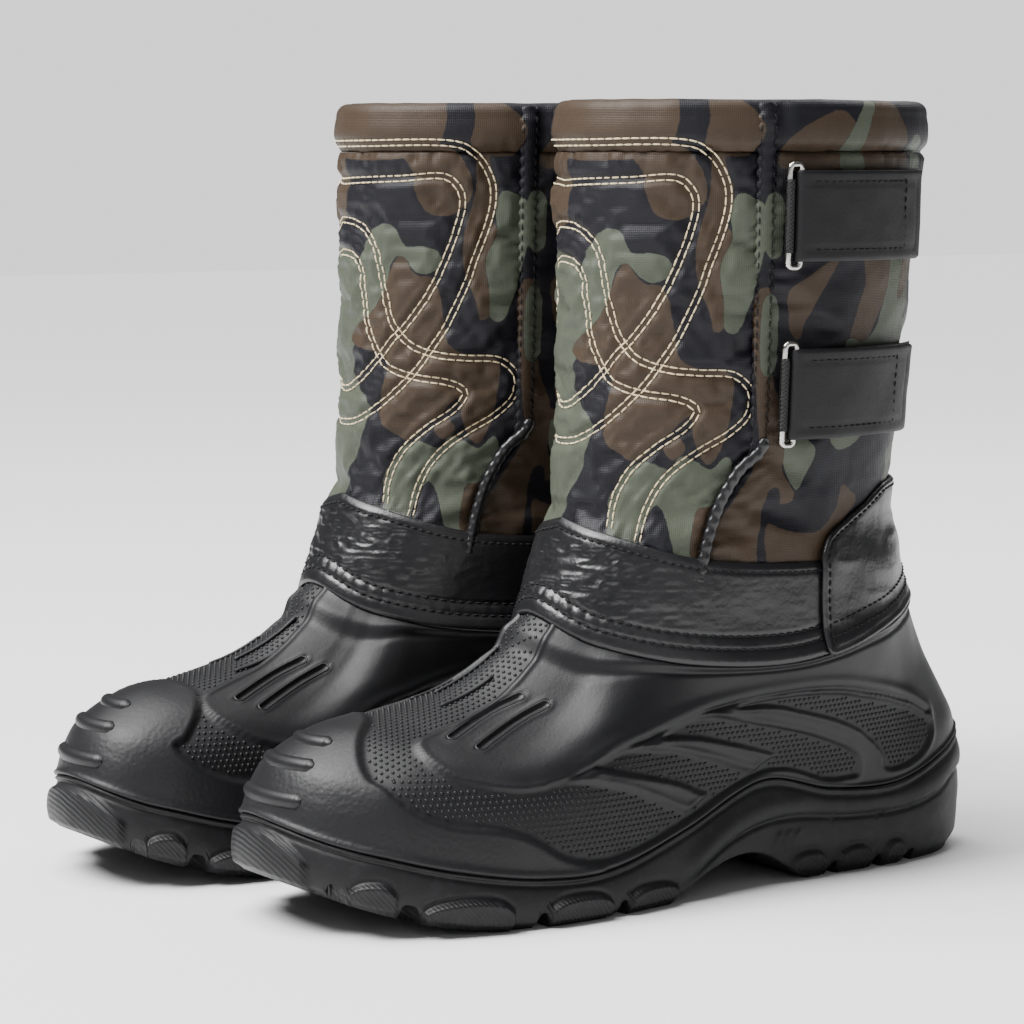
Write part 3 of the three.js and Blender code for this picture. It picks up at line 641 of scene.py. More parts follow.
def shell_inside(depth, v0=0.0):
    """The galosh's surface moved inwards by depth mm, on a coarser grid, level at its top."""
    t, v = np.meshgrid(shell_t[::3], np.linspace(v0, 1, 34))
    p = shell_point(t, v)
    n = grid_normals(p, True)
    n[-3:, :, 2] *= np.array([0.6, 0.3, 0.0])[:, None]
    return p - unit(n) * depth


def domes(places, normals, radius, height):
    """Small round studs standing on a surface."""
    ref = np.where(np.abs(normals[:, 2:]) > 0.9, [[0, 1.0, 0]], [[0, 0, 1.0]])
    a = unit(np.cross(normals, ref))
    b = np.cross(normals, a)
    turn = 2 * np.pi * np.arange(6) / 6
    rings = []
    for r, h in ((1.0, -0.3), (0.85, 0.45), (0.5, 0.85)):
        spoke = a[:, None] * np.cos(turn)[:, None] + b[:, None] * np.sin(turn)[:, None]
        rings.append(places[:, None] + radius * r * spoke + normals[:, None] * height * h)
    v = np.concatenate([*rings, (places + normals * height)[:, None]], 1)
    base = (np.arange(len(places)) * v.shape[1])[:, None]
    k = np.arange(6)
    k2 = join(k)
    quads = np.stack([k, k2, 6 + k2, 6 + k], -1)
    quads = np.vstack([quads, quads + 6])
    tris = np.stack([12 + k, 12 + k2, np.full(6, 18)], -1)
    return v.reshape(-1, 3), [(base[:, None] + quads).reshape(-1, 4), (base[:, None] + tris).reshape(-1, 3)]


SHELL_QUADS = grid_faces(SHELL_ROWS, SHELL_COLS, True)
SHELL_BVH = BVHTree.FromPolygons(SHELL.reshape(-1, 3).tolist(), SHELL_QUADS.tolist())
STUD_PITCH, STUD_RADIUS, STUD_HEIGHT = 2.35, 0.76, 0.55
STUD_MARGIN = 1.25               # how far the studs keep from their panel's edge
SIDEWAYS = 0.62                  # faces that point further sideways get their studs from the side


def stud_places():
    """A lattice cast onto the dotted panels, from the sides and from above."""
    depth = dotted_depth.ravel()
    flat_n = SHELL_N.reshape(-1, 3)
    places, normals = [], []
    row_gap = STUD_PITCH * 0.87
    for way in (1, -1, 0):
        if way:
            rows, first, last = np.arange(18, 84, row_gap), -150, 116
        else:
            rows, first, last = np.arange(-60, 60, row_gap), -150, -52
        for k, b in enumerate(rows):
            for a in np.arange(first + (k % 2) * STUD_PITCH / 2, last, STUD_PITCH):
                start, aim = ((way * 90, a, b), (-way, 0, 0)) if way else ((b, a, 150), (0, 0, -1))
                hit, _, face, _ = SHELL_BVH.ray_cast(start, aim)
                if hit is None or depth[SHELL_QUADS[face]].min() < STUD_MARGIN:
                    continue
                n = unit(flat_n[SHELL_QUADS[face]].mean(0))
                if (abs(n[0]) > SIDEWAYS) == bool(way):
                    places.append(hit[:])
                    normals.append(n)
    return np.array(places), np.array(normals)


STUDS = stud_places()


def shell_piece(side, mat):
    """The galosh: its face, lip and inner edge, the studs, a bead round each slot, and the raised bars."""
    b = Build()
    pebble = ease(cap_depth, 0, 6) * (0.35 + 0.65 * ease(cap_depth, 0, 5))
    pebble = pebble * (1 - 0.75 * bell(SHELL_N[..., 2] - 1, 0.25))
    seat = np.stack([np.append(outline(t, 3.3), parting(t) + 0.15) for t in shell_t])
    floor = np.stack([np.append(outline(t, 4.3), above_sole(14.4, outline(t)[1])) for t in shell_t])
    across_rim = rim_in(shell_t) - SHELL[-1]
    lip = [SHELL[-1] + across_rim * s + [0, 0, h] for s, h in ((0.12, 0.7), (0.5, 1.0), (0.88, 0.7), (1, 0))]
    down = [lip[-1] - [0, 0, d] for d in (4, 14)]
    rows = np.stack([floor, seat, *SHELL, *lip, *down])
    padded_rows = lambda values: np.pad(values, ((2, len(lip) + len(down)), (0, 0)))
    b.add(rows, grid_faces(len(rows), SHELL_COLS, True), dotted=padded_rows(ease(dotted_depth, 0, 1)),
          pebble=padded_rows(pebble))
    b.add(*domes(*STUDS, STUD_RADIUS, STUD_HEIGHT), dotted=0.3)
    for s in slot_lines:
        line = on_shell(s, 1.2)
        n = nearest_normals(line)
        head = unit(np.gradient(line, axis=0))
        across = np.cross(n, head)
        w = SLOT_WIDTH / 2
        ends = [[line[i] + way * across[i] * w * math.cos(q) + way * head[i] * w * math.sin(q)
                 for q in np.linspace(0.4, 2.74, 5)] for i, way in ((-1, 1), (0, -1))]
        loop = np.vstack([line + across * w, ends[0], (line - across * w)[::-1], ends[1]])
        b.add(*tube(loop, 0.5, 6, True))
    for rib in TOE_RIBS:
        b.add(*toe_rib(*rib))
    for x0, ya, yb in INSTEP_STRIPS:
        tv = snap([(q, x0) for q in np.linspace(ya, yb, 5)], True, True)
        line = on_shell(tv, 1.5)
        n = nearest_normals(line)
        b.add(*tube(line - n * 0.6, 0.85, 8, up=n.mean(0)))
    return b.make("shell", side, mat, slot="moulded_foam", node="shell")


def rim_in(t):
    """The inner edge of the galosh's lip."""
    p = rim(t)
    d = p - [0, RIM_Y, 0]
    d[:, 2] = 0
    return p - unit(d) * LIP


def nearest_normals(points):
    return SHELL_N.reshape(-1, 3)[nearest(SHELL.reshape(-1, 3), points)[0]]


LIP, SLOT_WIDTH = 4.5, 3.5
# Toe bars: height, outer end and inner end (x)
TOE_RIBS = [(66.5, 3.5, -15.5), (59.5, 7, -20), (47.5, 9.5, -24)]
# Instep strips: x, then both ends (y)
INSTEP_STRIPS = [(-5.5, -93, -66), (6.5, -98, -76), (-14.5, -98, -76)]


def toe_rib(height, outer_end, inner_end):
    """A raised bar across the front of the toe cap, level all the way."""
    line, normals = [], []
    for x in np.arange(outer_end, inner_end, -1.2):
        hit, n, _, _ = SHELL_BVH.ray_cast((x, -230, height), (0, 1, 0))
        line.append(hit[:])
        normals.append(n[:] if n[1] < 0 else (-n)[:])
    line, n = np.array(line), unit(np.array(normals))
    for _ in range(6):
        n[1:-1] = unit(n[:-2] + 2 * n[1:-1] + n[2:])
    return tube(line - n * 1.3, 3.2, 14, flat=0.95, up=n.mean(0))


# ---------------------------------------------------------------- outsole

# The toe's rise off the ground, where it starts and how long it is
SPRING_RISE, SPRING_START, SPRING_LENGTH = 19, -90, 77


def spring(y):
    return SPRING_RISE * np.maximum(0, (SPRING_START - np.asarray(y, float)) / SPRING_LENGTH) ** 2


def above_sole(height, y):
    """A height inside the boot, which follows most of the toe's rise."""
    return height + 0.8 * spring(y)


# Grooves across the tread: place (y), width and depth
GROOVES = [(-154, 5.5, 6.5), (-134.5, 7.5, 6.5), (-87, 5.5, 6.0), (-51.5, 5.5, 6.0), (58, 5, 5.5),
           (80.5, 5, 5.5), (98.5, 5, 5.5)]
# The hollow under the arch, and the waist line on the sole's side: y, height
ARCH = [[-24, 0], [-18, 4.5], [-12, 8], [-5, 11], [2, 13], [10, 14.3], [18, 14], [26, 11.5], [34, 7],
        [40, 3.2], [47, 0]]
WAIST_LINE = [[-30, 3], [-14, 10], [0, 17.5], [10, 21.5], [20, 24], [30, 25.2], [40, 25.2], [50, 24.2],
              [60, 23], [72, 22.3], [86, 22], [98, 22.6], [108, 24.4], [118, 27.5], [126, 31], [143, 33]]
# Lugs on the sole's side: front and back (y), height of the arched top, how far it stands out
SIDE_LUGS = [(-151, -137.5, 20.5, 2.3), (-129.5, -97, 13.2, 2.7), (-83.5, -55.5, 10.6, 2.4),
             (-48.5, -22, 9.9, 2.0), (37, 54.5, 11.0, 1.4), (61, 77, 10.5, 1.4), (84, 95, 10.5, 1.4)]


def tread(x, y):
    """Height of the sole's underside."""
    deep = np.zeros(np.broadcast(x, y).shape)
    for yc, w, d in GROOVES:
        slant = 0.06 * np.abs(x) - 1.5
        q = np.clip(np.abs(y - yc - slant) / (w / 2), 0, 1)
        deep = np.maximum(deep, d * (1 - q ** 4) * (q < 1))
    arch = np.where((y > ARCH[0][0]) & (y < ARCH[-1][0]), follow(ARCH, y), 0) * (1 - 0.2 * bell(x, 22))
    deep = np.maximum(deep, arch)
    q = np.clip(np.abs(x - 1) / 7, 0, 1)
    middle = 6.5 * (1 - q ** 4) * ease(y, -124, -116) * (1 - ease(y, 78, 88))
    return spring(y) + np.maximum(deep, middle * (deep < 12))


SOLE_COLS = 900
CUP_FLOOR = 14                   # height of the cup that the galosh stands in
TOE_LUG = (-9, 27, 36.5)         # middle (x), half width and height of the lug that curls up the toe
ARCH_RIDGES = (27, 31.5, 36)     # three plain curved ridges under the arch (y)


def outsole_piece(side, mat):
    """The sole: underside, wall with its lugs, waist line and ridges, flange and cup."""
    t = (np.arange(SOLE_COLS) + 0.5) / SOLE_COLS - 0.5
    edge, heading = catmull(SOLE_OUTLINE, t)
    out = np.stack([heading[:, 1], -heading[:, 0]], -1)
    y = edge[:, 1]
    top = parting(t) - 0.15
    low = tread(edge[:, 0], y)
    s = np.linspace(0, 1, 38)[:, None]
    z = low + (top - low) * s
    base = spring(y)
    share = (z - base) / np.maximum(top - base, 1)
    flare = -2.6 * (1 - ease(share, 0, 0.16)) + 2.0 * np.sin(np.pi * np.clip(share, 0, 1) ** 0.8)
    # the waist line: a groove with the thick band bulging above it behind the arch
    line = follow(WAIST_LINE, y)
    back = ease(y, -26, -6)
    above = z - line
    flare = flare + back * (1.5 * bell(above - 5.5, 5.5) - 1.6 * bell(above, 1.1) - 0.6 * ease(-above, 0, 2))
    flare = flare + 0.5 * back * bell(above + 7, 6)
    # a thin flange along the parting line
    flare = flare + 0.9 * bell(top - z - 0.9, 0.7) - 0.5 * bell(top - z - 2.6, 0.9)
    lug = np.zeros_like(z)
    for ya, yb, zt, h in SIDE_LUGS:
        yc, w = (ya + yb) / 2, (yb - ya) / 2
        q = np.clip(np.abs(y - yc) / w, 0, 1)
        crown = zt - (zt - base) * 0.55 * (1 - np.sqrt(np.clip(1 - q ** 2.6, 0, 1)))
        m = ease(crown - z, -0.4, 1.3) * (1 - ease(q, 0.93, 1.0))
        lug = np.maximum(lug, m)
        flare = flare + h * m * (0.75 + 0.35 * bell(crown - z - 1.5, 2.0))
        flare = flare - 0.5 * bell(crown - z + 1.1, 0.8) * (q < 0.99)
    middle, reach, height = TOE_LUG
    toe = np.abs(edge[:, 0] - middle)
    crown = height - 12 * np.clip(toe / reach, 0, 1) ** 3
    m = ease(crown - z, -0.4, 1.6) * (1 - ease(toe, 24, 26.5)) * (y < -148)
    lug = np.maximum(lug, m)
    flare = flare + 2.3 * m
    for ya in ARCH_RIDGES:
        d = np.abs((y - ya) - 0.05 * (z - 11) ** 2)
        flare = flare + 0.9 * bell(d, 0.8) * ease(z, 11.5, 13) * (1 - ease(z, 19, 21))
    flare = flare + 0.12 * lattice_noise(t * 800 + 400, z, 7, 9)
    p = edge + out * flare[..., None]
    wall = np.concatenate([p, z[..., None]], -1)
    # underside, drawn in to the middle line
    mid = np.stack([middle_x(y) * 0.6, np.clip(y, -128, 108)], -1)
    under = []
    start = wall[0][:, :2]
    for q in np.linspace(1, 0, 26)[:-1]:
        xy = start + (mid - start) * q
        under.append(np.column_stack([xy, tread(xy[:, 0], xy[:, 1])]))
    cup = [np.column_stack([outline(t, 0.4), top + 0.05]), np.column_stack([outline(t, 3.0), top]),
           np.column_stack([outline(t, 4.0), above_sole(CUP_FLOOR, y)]),
           np.column_stack([mid, above_sole(CUP_FLOOR, mid[:, 1])])]
    rows = np.stack([*under, *wall, *cup])
    lugs = np.vstack([np.ones((len(under), SOLE_COLS)), lug, np.zeros((len(cup), SOLE_COLS))])
    b = Build().add(rows, grid_faces(len(rows), SOLE_COLS, True), lug=lugs)
    return b.make("outsole", side, mat, slot="sole_rubber", node="outsole")


# ---------------------------------------------------------------- the shaft's surface

# The shaft's cross sections, each an ellipse: height, middle (y), half length, half width
SECTIONS = [
    [85, 31.5, 82, 50.5], [111, 31, 80.5, 50], [130, 32.2, 75, 49.6], [145, 34.5, 72.2, 50],
    [170, 37, 73, 52], [215, 40.5, 75.6, 54.8], [297, 44.5, 78.3, 58]]
# Top of the boot, seam under the collar, thickness of the padded panels, gap kept under a layer
TOP, SEAM_Z, PANEL, LAYER = 297, 277, 5, 0.85
BAND_TOP = [[-90, 141], [-60, 135], [-30, 127], [0, 124], [30, 124], [60, 126], [90, 127]]
# The side seam's place (y), and how far forward of it the seam sweeps low down: height, distance
SEAM_Y = 16
SEAM_SWEEP = [[126, 22], [138, 20], [147, 15], [156, 8], [163, 2], [170, 0]]


def section(z):
    return [follow([(s[0], s[k]) for s in SECTIONS], z) for k in (1, 2, 3)]


def on_shaft(angle, z, offset=0.0):
    """A point of the shaft at an angle in degrees from the outer side, offset mm out from its face."""
    angle, z, offset = np.broadcast_arrays(np.asarray(angle, float), np.asarray(z, float), offset)
    y, a, b = section(z)
    r = np.radians(angle)
    return np.stack([(b + offset) * np.cos(r), y + (a + offset) * np.sin(r), z], -1)


def angle_at(y, z, offset=0.0):
    yc, a, _ = section(np.asarray(z, float))
    return np.degrees(np.arcsin(np.clip((y - yc) / (a + offset), -1, 1)))


# Distance round the shaft, measured on the section at mid height
TURN = np.radians(np.linspace(-450, 450, 3601))
_, HALF_LENGTH, HALF_WIDTH = SECTIONS[5][1:]
SPEED = np.hypot(HALF_WIDTH * np.sin(TURN), HALF_LENGTH * np.cos(TURN))
ARC = np.concatenate([[0], np.cumsum(SPEED[1:] * np.diff(TURN))])
ARC -= np.interp(0, TURN, ARC)
FULL_TURN = float(np.interp(math.tau, TURN, ARC))


def arc_of(angle):
    """Distance round the shaft from the outer side, negative towards the front."""
    return np.interp(np.radians(angle), TURN, ARC)


def angle_of(u):
    return np.degrees(np.interp(u, ARC, TURN))


def seam_angle(z, shift=0.0):
    """Where the outer side seam runs at a height."""
    return angle_at(SEAM_Y - follow(SEAM_SWEEP, z) + shift, z)


def rim_z(angle):
    return follow(RIM_HEIGHT, fold(np.asarray(angle, float)), True)


def band_z(angle):
    return follow(BAND_TOP, fold(np.asarray(angle, float)))


# Decorative double stitching on the front panel: (distance round, height)
LINES = [
    [(-115, 280.4), (-95, 280.5), (-61, 280.6), (-50, 276.6), (-43.6, 267.7), (-41.9, 259), (-43.6, 249),
     (-48.3, 235), (-51.4, 225), (-58.6, 209), (-64.3, 200), (-70, 192), (-78.6, 183.4), (-90, 175),
     (-101.4, 170), (-115, 168.8)],
    [(-115, 265.4), (-100, 266), (-78.6, 266.7), (-62.9, 267.7), (-56.4, 264), (-54, 257.7), (-55.7, 247.7),
     (-60.7, 233.4), (-67, 220.6), (-75.7, 209), (-81.4, 203.4), (-88.6, 195.6), (-97, 188.4), (-107, 183.4),
     (-115, 182.2)],
    [(-115, 250), (-104, 249), (-95.7, 245), (-90, 236), (-86.4, 222), (-83, 212), (-78.6, 205), (-72, 200),
     (-61.4, 197), (-50, 196), (-37, 195.3), (-30, 191), (-27.8, 185.6), (-29.6, 179), (-37, 172.7),
     (-47, 167), (-57, 160), (-63, 152.7), (-66.7, 143.4), (-66.4, 134)],
    [(-115, 237), (-105.7, 236), (-100, 232), (-97.4, 222), (-95, 210.6), (-90.7, 200.6), (-85.7, 193.4),
     (-78.6, 190), (-70, 188), (-58.6, 186.6), (-51.4, 184), (-49.7, 180.6), (-54.3, 175), (-64.3, 168.4),
     (-73, 161.3), (-78.6, 153.4), (-80.7, 145), (-79.6, 137)]]
# Where the lines turn back to the inner side, and how much narrower they are there
LINE_MIDDLE, LINE_SQUEEZE = -115, 0.78


def seam_lines():
    """The double stitching as smooth lines of (distance round, height), on both halves of the panel."""
    out = []
    for line in LINES:
        p = np.array([q for q in line if q[0] >= LINE_MIDDLE - 0.1], float)
        q = p.copy()
        q[:, 0] = LINE_MIDDLE - (p[:, 0] - LINE_MIDDLE) * LINE_SQUEEZE
        joined = np.vstack([p, q[::-1]]) if p[-1][0] == LINE_MIDDLE else np.vstack([q[::-1], p])
        keep = np.concatenate([[True], np.linalg.norm(np.diff(joined, axis=0), axis=1) > 2])
        out.append(resample(spline(joined[keep], 1.0), 0.9))
    return out


def world_u(u, side):
    """The pattern isn't mirrored between the boots, so it is laid out as seen from one side."""
    return u if side == "left" else -FULL_TURN / 2 - u


def world_wrap(u):
    """The same place as a distance from three quarters of a turn back to a quarter ahead."""
    u = np.where(u > FULL_TURN / 4, u - FULL_TURN, u)
    return np.where(u < -0.75 * FULL_TURN, u + FULL_TURN, u)


CREAM = seam_lines()


def leftward(line):
    """The way to the left of a line of (distance round, height)."""
    head = unit(np.gradient(line, axis=0))
    return np.stack([-head[:, 1], head[:, 0]], -1)


def double(line, gap=1.12):
    """The two rows of a double stitching."""
    side = leftward(line)
    return [line + side * gap, line - side * gap]


ROWS = [row for line in CREAM for row in double(line)]


def gap_to(lines, u, z):
    """Distance of each place on the shaft from the nearest of some lines."""
    flat = lambda p: np.column_stack([p, np.zeros(len(p))])
    places = np.column_stack([np.ravel(u), np.ravel(z)])
    return nearest(flat(np.vstack(lines)), flat(places))[1].reshape(np.shape(u))


# ---------------------------------------------------------------- padding, swollen by cloth simulation

SIM_COLS, SIM_ROWS, SIM_LOW, SIM_HIGH, SIM_FRAMES = 132, 54, 118.0, TOP - 3, 20


def swell(side):
    """Blows up the shaft's outer cloth between its seams and stitches; returns how far it moves out, in mm."""
    angle = np.linspace(0, 360, SIM_COLS, endpoint=False) - 270
    z = np.linspace(SIM_LOW, SIM_HIGH, SIM_ROWS)
    A, Z = np.meshgrid(angle, z)
    p = on_shaft(A, Z, -1.4)
    U = world_wrap(world_u(arc_of(A), side))
    pin = (Z < SIM_LOW + 4) | (Z > TOP - 6) | (np.abs(Z - SEAM_Z) < 1.7) | (gap_to(CREAM, U, Z) < 2.0)
    for edge in (seam_angle(Z), 180 - seam_angle(Z)):
        d = np.abs((A - edge + 180) % 360 - 180)
        pin |= d < 1.8
    back = np.abs((A - 90 + 180) % 360 - 180)
    pin |= (back < 1.5) & (Z < SEAM_Z)
    mesh = bpy.data.meshes.new("swell")
    mesh.from_pydata((p.reshape(-1, 3) / 1000).tolist(), [], grid_faces(SIM_ROWS, SIM_COLS, True).tolist())
    piece = bpy.data.objects.new("swell", mesh)
    bpy.context.scene.collection.objects.link(piece)
    held = piece.vertex_groups.new(name="held")
    held.add(np.flatnonzero(pin.ravel()).tolist(), 1.0, "REPLACE")
    mod = piece.modifiers.new("cloth", "CLOTH")
    s = mod.settings
    s.vertex_group_mass = "held"
    s.quality = 6
    s.mass = 0.35
    s.tension_stiffness = s.compression_stiffness = 22
    s.shear_stiffness = 12
    s.bending_stiffness = 1.2
    s.use_pressure = True
    s.uniform_pressure_force = 4
    s.shrink_min = -0.035
    s.effector_weights.gravity = 0
    mod.collision_settings.use_collision = False
    mod.point_cache.frame_start, mod.point_cache.frame_end = 1, SIM_FRAMES
    for frame_no in range(1, SIM_FRAMES + 1):
        bpy.context.scene.frame_set(frame_no)
    shape = piece.evaluated_get(bpy.context.evaluated_depsgraph_get())
    co = np.zeros(len(mesh.vertices) * 3)
    shape.data.vertices.foreach_get("co", co)
    q = co.reshape(SIM_ROWS, SIM_COLS, 3) * 1000
    bpy.data.objects.remove(piece)
    bpy.context.scene.frame_set(1)
    moved = np.sum((q - p) * grid_normals(p, True), -1)
    return np.clip(moved, -0.5, 3.6)


SWELL = {side: swell(side) for side in SIDES}


def puff(side, angle, z):
    """How far the padding stands out at a place, from the simulation."""
    d = SWELL[side]
    x = ((np.asarray(angle, float) + 270) % 360) / 360 * SIM_COLS
    y = np.clip((np.asarray(z, float) - SIM_LOW) / (SIM_HIGH - SIM_LOW) * (SIM_ROWS - 1), 0, SIM_ROWS - 1.001)
    i, j = np.floor(x).astype(int) % SIM_COLS, np.floor(y).astype(int)
    u, v = x - np.floor(x), y - j
    i2 = (i + 1) % SIM_COLS
    return ((d[j, i] * (1 - u) + d[j, i2] * u) * (1 - v) + (d[j + 1, i] * (1 - u) + d[j + 1, i2] * u) * v)


def slab(outer, inner, wrap=False):
    """Closed piece between two grids of points [row, column]."""
    rows, cols = outer.shape[:2]
    v = np.concatenate([outer.reshape(-1, 3), inner.reshape(-1, 3)])
    n = rows * cols
    f = [grid_faces(rows, cols, wrap), grid_faces(rows, cols, wrap, True, n)]
    c = np.arange(cols if wrap else cols - 1)
    c2 = (c + 1) % cols
    top = (rows - 1) * cols
    f.append(np.stack([c2, c, n + c, n + c2], -1))
    f.append(np.stack([top + c, top + c2, n + top + c2, n + top + c], -1))
    if not wrap:
        r = np.arange(rows - 1) * cols
        f.append(np.stack([r, r + cols, n + r + cols, n + r], -1))
        e = r + cols - 1
        f.append(np.stack([e + cols, e, n + e, n + e + cols], -1))
    return v, f


# ---------------------------------------------------------------- camouflage

# Blobs in painting order over black: class, then (distance round, height) round the blob's edge
B, G, K = "brown", "green", "black"
BLOBS = [
    (B, [(-132, 278), (-132, 250), (-118, 249), (-109, 253), (-108, 262), (-109, 272), (-111, 278)]),
    (G, [(-132, 238), (-118, 240), (-104, 236), (-98, 226), (-96, 214), (-98, 204), (-104, 196), (-100, 184),
         (-92, 176), (-96, 162), (-104, 150), (-110, 138), (-122, 128), (-136, 130), (-136, 180)]),
    (B, [(-118, 276.9), (-118, 302), (-67, 302), (-67, 276.9)]),
    (G, [(-98, 238), (-93, 246), (-86, 249), (-80, 246), (-77, 240), (-70, 240), (-63, 238), (-62, 232),
         (-68, 229), (-73, 231), (-78, 236), (-83, 234), (-85, 226), (-90, 216), (-100, 210), (-104, 222)]),
    (B, [(-78, 277), (-74, 270), (-72, 262), (-68, 254), (-60, 252), (-53, 256), (-50, 262), (-52, 270),
         (-58, 278), (-68, 280)]),
    (B, [(-105, 204), (-97, 210), (-90, 216), (-85, 226), (-82, 234), (-78, 236), (-72, 229), (-66, 228),
         (-62, 222), (-60, 212), (-58, 203), (-52, 198), (-37, 195), (-36, 182), (-38, 170), (-42, 162),
         (-46, 164), (-50, 172), (-52, 180), (-60, 173), (-66, 168), (-72, 163), (-78, 165), (-85, 170),
         (-87, 178), (-84, 190), (-88, 197), (-100, 200)]),
    (B, [(-61.5, 168), (-57, 163.5), (-52.5, 168), (-57, 172.5)]),
    (B, [(-46, 280), (-43, 270), (-40, 262), (-42, 250), (-38, 246), (-42, 240), (-44, 232), (-40, 222),
         (-41, 213), (-45, 211), (-47, 218), (-52, 230), (-53, 243), (-49, 262), (-49, 276)]),
    (G, [(-38, 262), (-32, 260), (-28, 256), (-28, 240), (-30, 230), (-32, 220), (-36, 211), (-41, 212),
         (-42, 222), (-44, 235), (-40, 245), (-41, 256)]),
    (G, [(-82, 150), (-75, 160), (-68, 163), (-58, 160), (-55, 165), (-48, 163), (-42, 160), (-36, 165),
         (-33, 158), (-38, 148), (-44, 143), (-45, 138), (-42, 130), (-40, 124), (-48, 125), (-55, 138),
         (-62, 147), (-66, 140), (-68, 130), (-78, 134), (-82, 143)]),
    (B, [(-46, 144), (-43, 146), (-38, 144), (-38, 128), (-44, 128)]),
    (B, [(-52, 302), (-50, 290), (-50, 277), (-30, 277), (-32, 290), (-44, 299)]),
    (K, [(-36, 272), (-30, 284), (-34, 300), (-24, 303), (-22, 272)]),
    (B, [(-22, 279), (-15, 286), (-2, 292), (5, 291), (9, 284), (7, 277), (3, 271), (-22, 271)]),
    (G, [(2, 271), (3, 280), (8, 288), (15, 296), (21, 294), (17, 286), (14, 279), (15, 271)]),
    (B, [(13, 279), (17, 290), (24, 299), (32, 295), (40, 281), (40, 270), (30, 267), (16, 270)]),
    (G, [(45, 283), (55, 280), (56, 270), (46, 266)]),
    (B, [(-16, 225), (-10, 230), (5, 238), (1, 229), (-5, 220), (-9, 208), (-13, 210)]),
    (B, [(18, 240), (28, 239), (37, 239), (35.5, 225), (30, 215), (22, 203), (14, 205), (17, 218),
         (20, 228)]),
    (G, [(37, 240), (34, 222), (28, 209), (14, 202), (24, 198), (40, 202), (50, 208), (54, 225), (50, 240)]),
    (B, [(43, 222), (50, 224), (58, 236), (47, 238)]),
    (B, [(-24, 196), (-23, 164), (-30, 150), (-36, 138), (-38, 120), (-16, 120), (-17, 150), (-12, 168),
         (-14, 182)]),
    (B, [(-18, 150), (-16, 172), (-8, 174), (-11, 160), (-4, 149), (-8, 146)]),
    (G, [(-11, 171), (-3, 171), (3, 166), (1, 158), (-3, 151), (-8, 156), (-11, 163)]),
    (K, [(-17, 125), (-17, 149), (-12, 152), (-9, 140), (-9, 125)]),
    (B, [(-15, 139), (-8, 137), (0, 135), (10, 135), (16, 139), (20, 144), (21, 152), (26, 150), (32, 145),
         (20, 134), (12, 121), (-9, 121), (-14, 130)]),
    (B, [(-30, 224), (-28, 196), (-22, 165), (-16, 168), (-19, 195), (-22, 224)]),
    (G, [(-27, 222), (-26, 197), (-19, 197), (-20, 222)]),
    (G, [(-28, 260), (-27, 240), (-20, 240), (-21, 260)]),
    (G, [(12, 206), (16, 192), (8, 176), (14, 166), (26, 168), (34, 180), (30, 196), (20, 206)]),
]


def random_blobs():
    """More of the same for the sides that carry no drawn blobs."""
    rng = np.random.default_rng(11)
    out = []
    for _ in range(74):
        u = rng.uniform(-FULL_TURN * 0.75 + 4, -138) if rng.random() < 0.76 else rng.uniform(66, FULL_TURN / 4)
        z = rng.uniform(120, 296)
        kind = (B, G, K)[rng.choice(3, p=(0.42, 0.33, 0.25))]
        size = rng.uniform(9, 22)
        lean = rng.uniform(0, math.pi)
        turn = np.linspace(0, math.tau, 14, endpoint=False)
        r = size * (1 + 0.28 * np.sin(2 * turn + rng.uniform(0, 6))
                    + 0.22 * np.sin(3 * turn + rng.uniform(0, 6))
                    + 0.1 * np.sin(5 * turn + rng.uniform(0, 6)))
        x, y = r * np.cos(turn) * 1.25, r * np.sin(turn) * 0.85
        out.append((kind, np.column_stack([u + x * math.cos(lean) - y * math.sin(lean),
                                           z + x * math.sin(lean) + y * math.cos(lean)])))
    return out


ALL_BLOBS = [(kind, spline(np.array(p, float), 2.0, True)) for kind, p in random_blobs() + BLOBS]


DEPTH = 14.0


def polygon_depth(poly, x, y):
    """Signed distance to a polygon, positive inside, cut off DEPTH mm away."""
    out = np.full(x.shape, -DEPTH)
    near = ((x > poly[:, 0].min() - DEPTH) & (x < poly[:, 0].max() + DEPTH)
            & (y > poly[:, 1].min() - DEPTH) & (y < poly[:, 1].max() + DEPTH))
    px, py = x[near], y[near]
    best = np.full(px.shape, 1e9)
    for a, b in zip(poly, np.roll(poly, -1, 0)):
        d = b - a
        s = np.clip(((px - a[0]) * d[0] + (py - a[1]) * d[1]) / max(d @ d, 1e-9), 0, 1)
        best = np.minimum(best, (px - a[0] - s * d[0]) ** 2 + (py - a[1] - s * d[1]) ** 2)
    d = np.sqrt(best)
    out[near] = np.where(inside(poly, px, py), d, -d)
    return np.clip(out, -DEPTH, DEPTH)


def camouflage(side, u, z):
    """How deep each point lies inside the brown and the green areas, in mm."""
    u = world_wrap(world_u(np.ravel(u), side))
    z = np.ravel(z)
    field = {B: np.full(u.shape, -DEPTH), G: np.full(u.shape, -DEPTH)}
    for kind, poly in ALL_BLOBS:
        s = polygon_depth(poly, u, z)
        for name in field:
            field[name] = np.maximum(field[name], s) if name == kind else np.minimum(field[name], -s)
    return dict(brown=field[B], green=field[G])


def both_faces(values):
    """The values for a slab, whose inner face repeats its outer one's."""
    return {k: np.concatenate([v, v]) for k, v in values.items()}


# ---------------------------------------------------------------- stitches

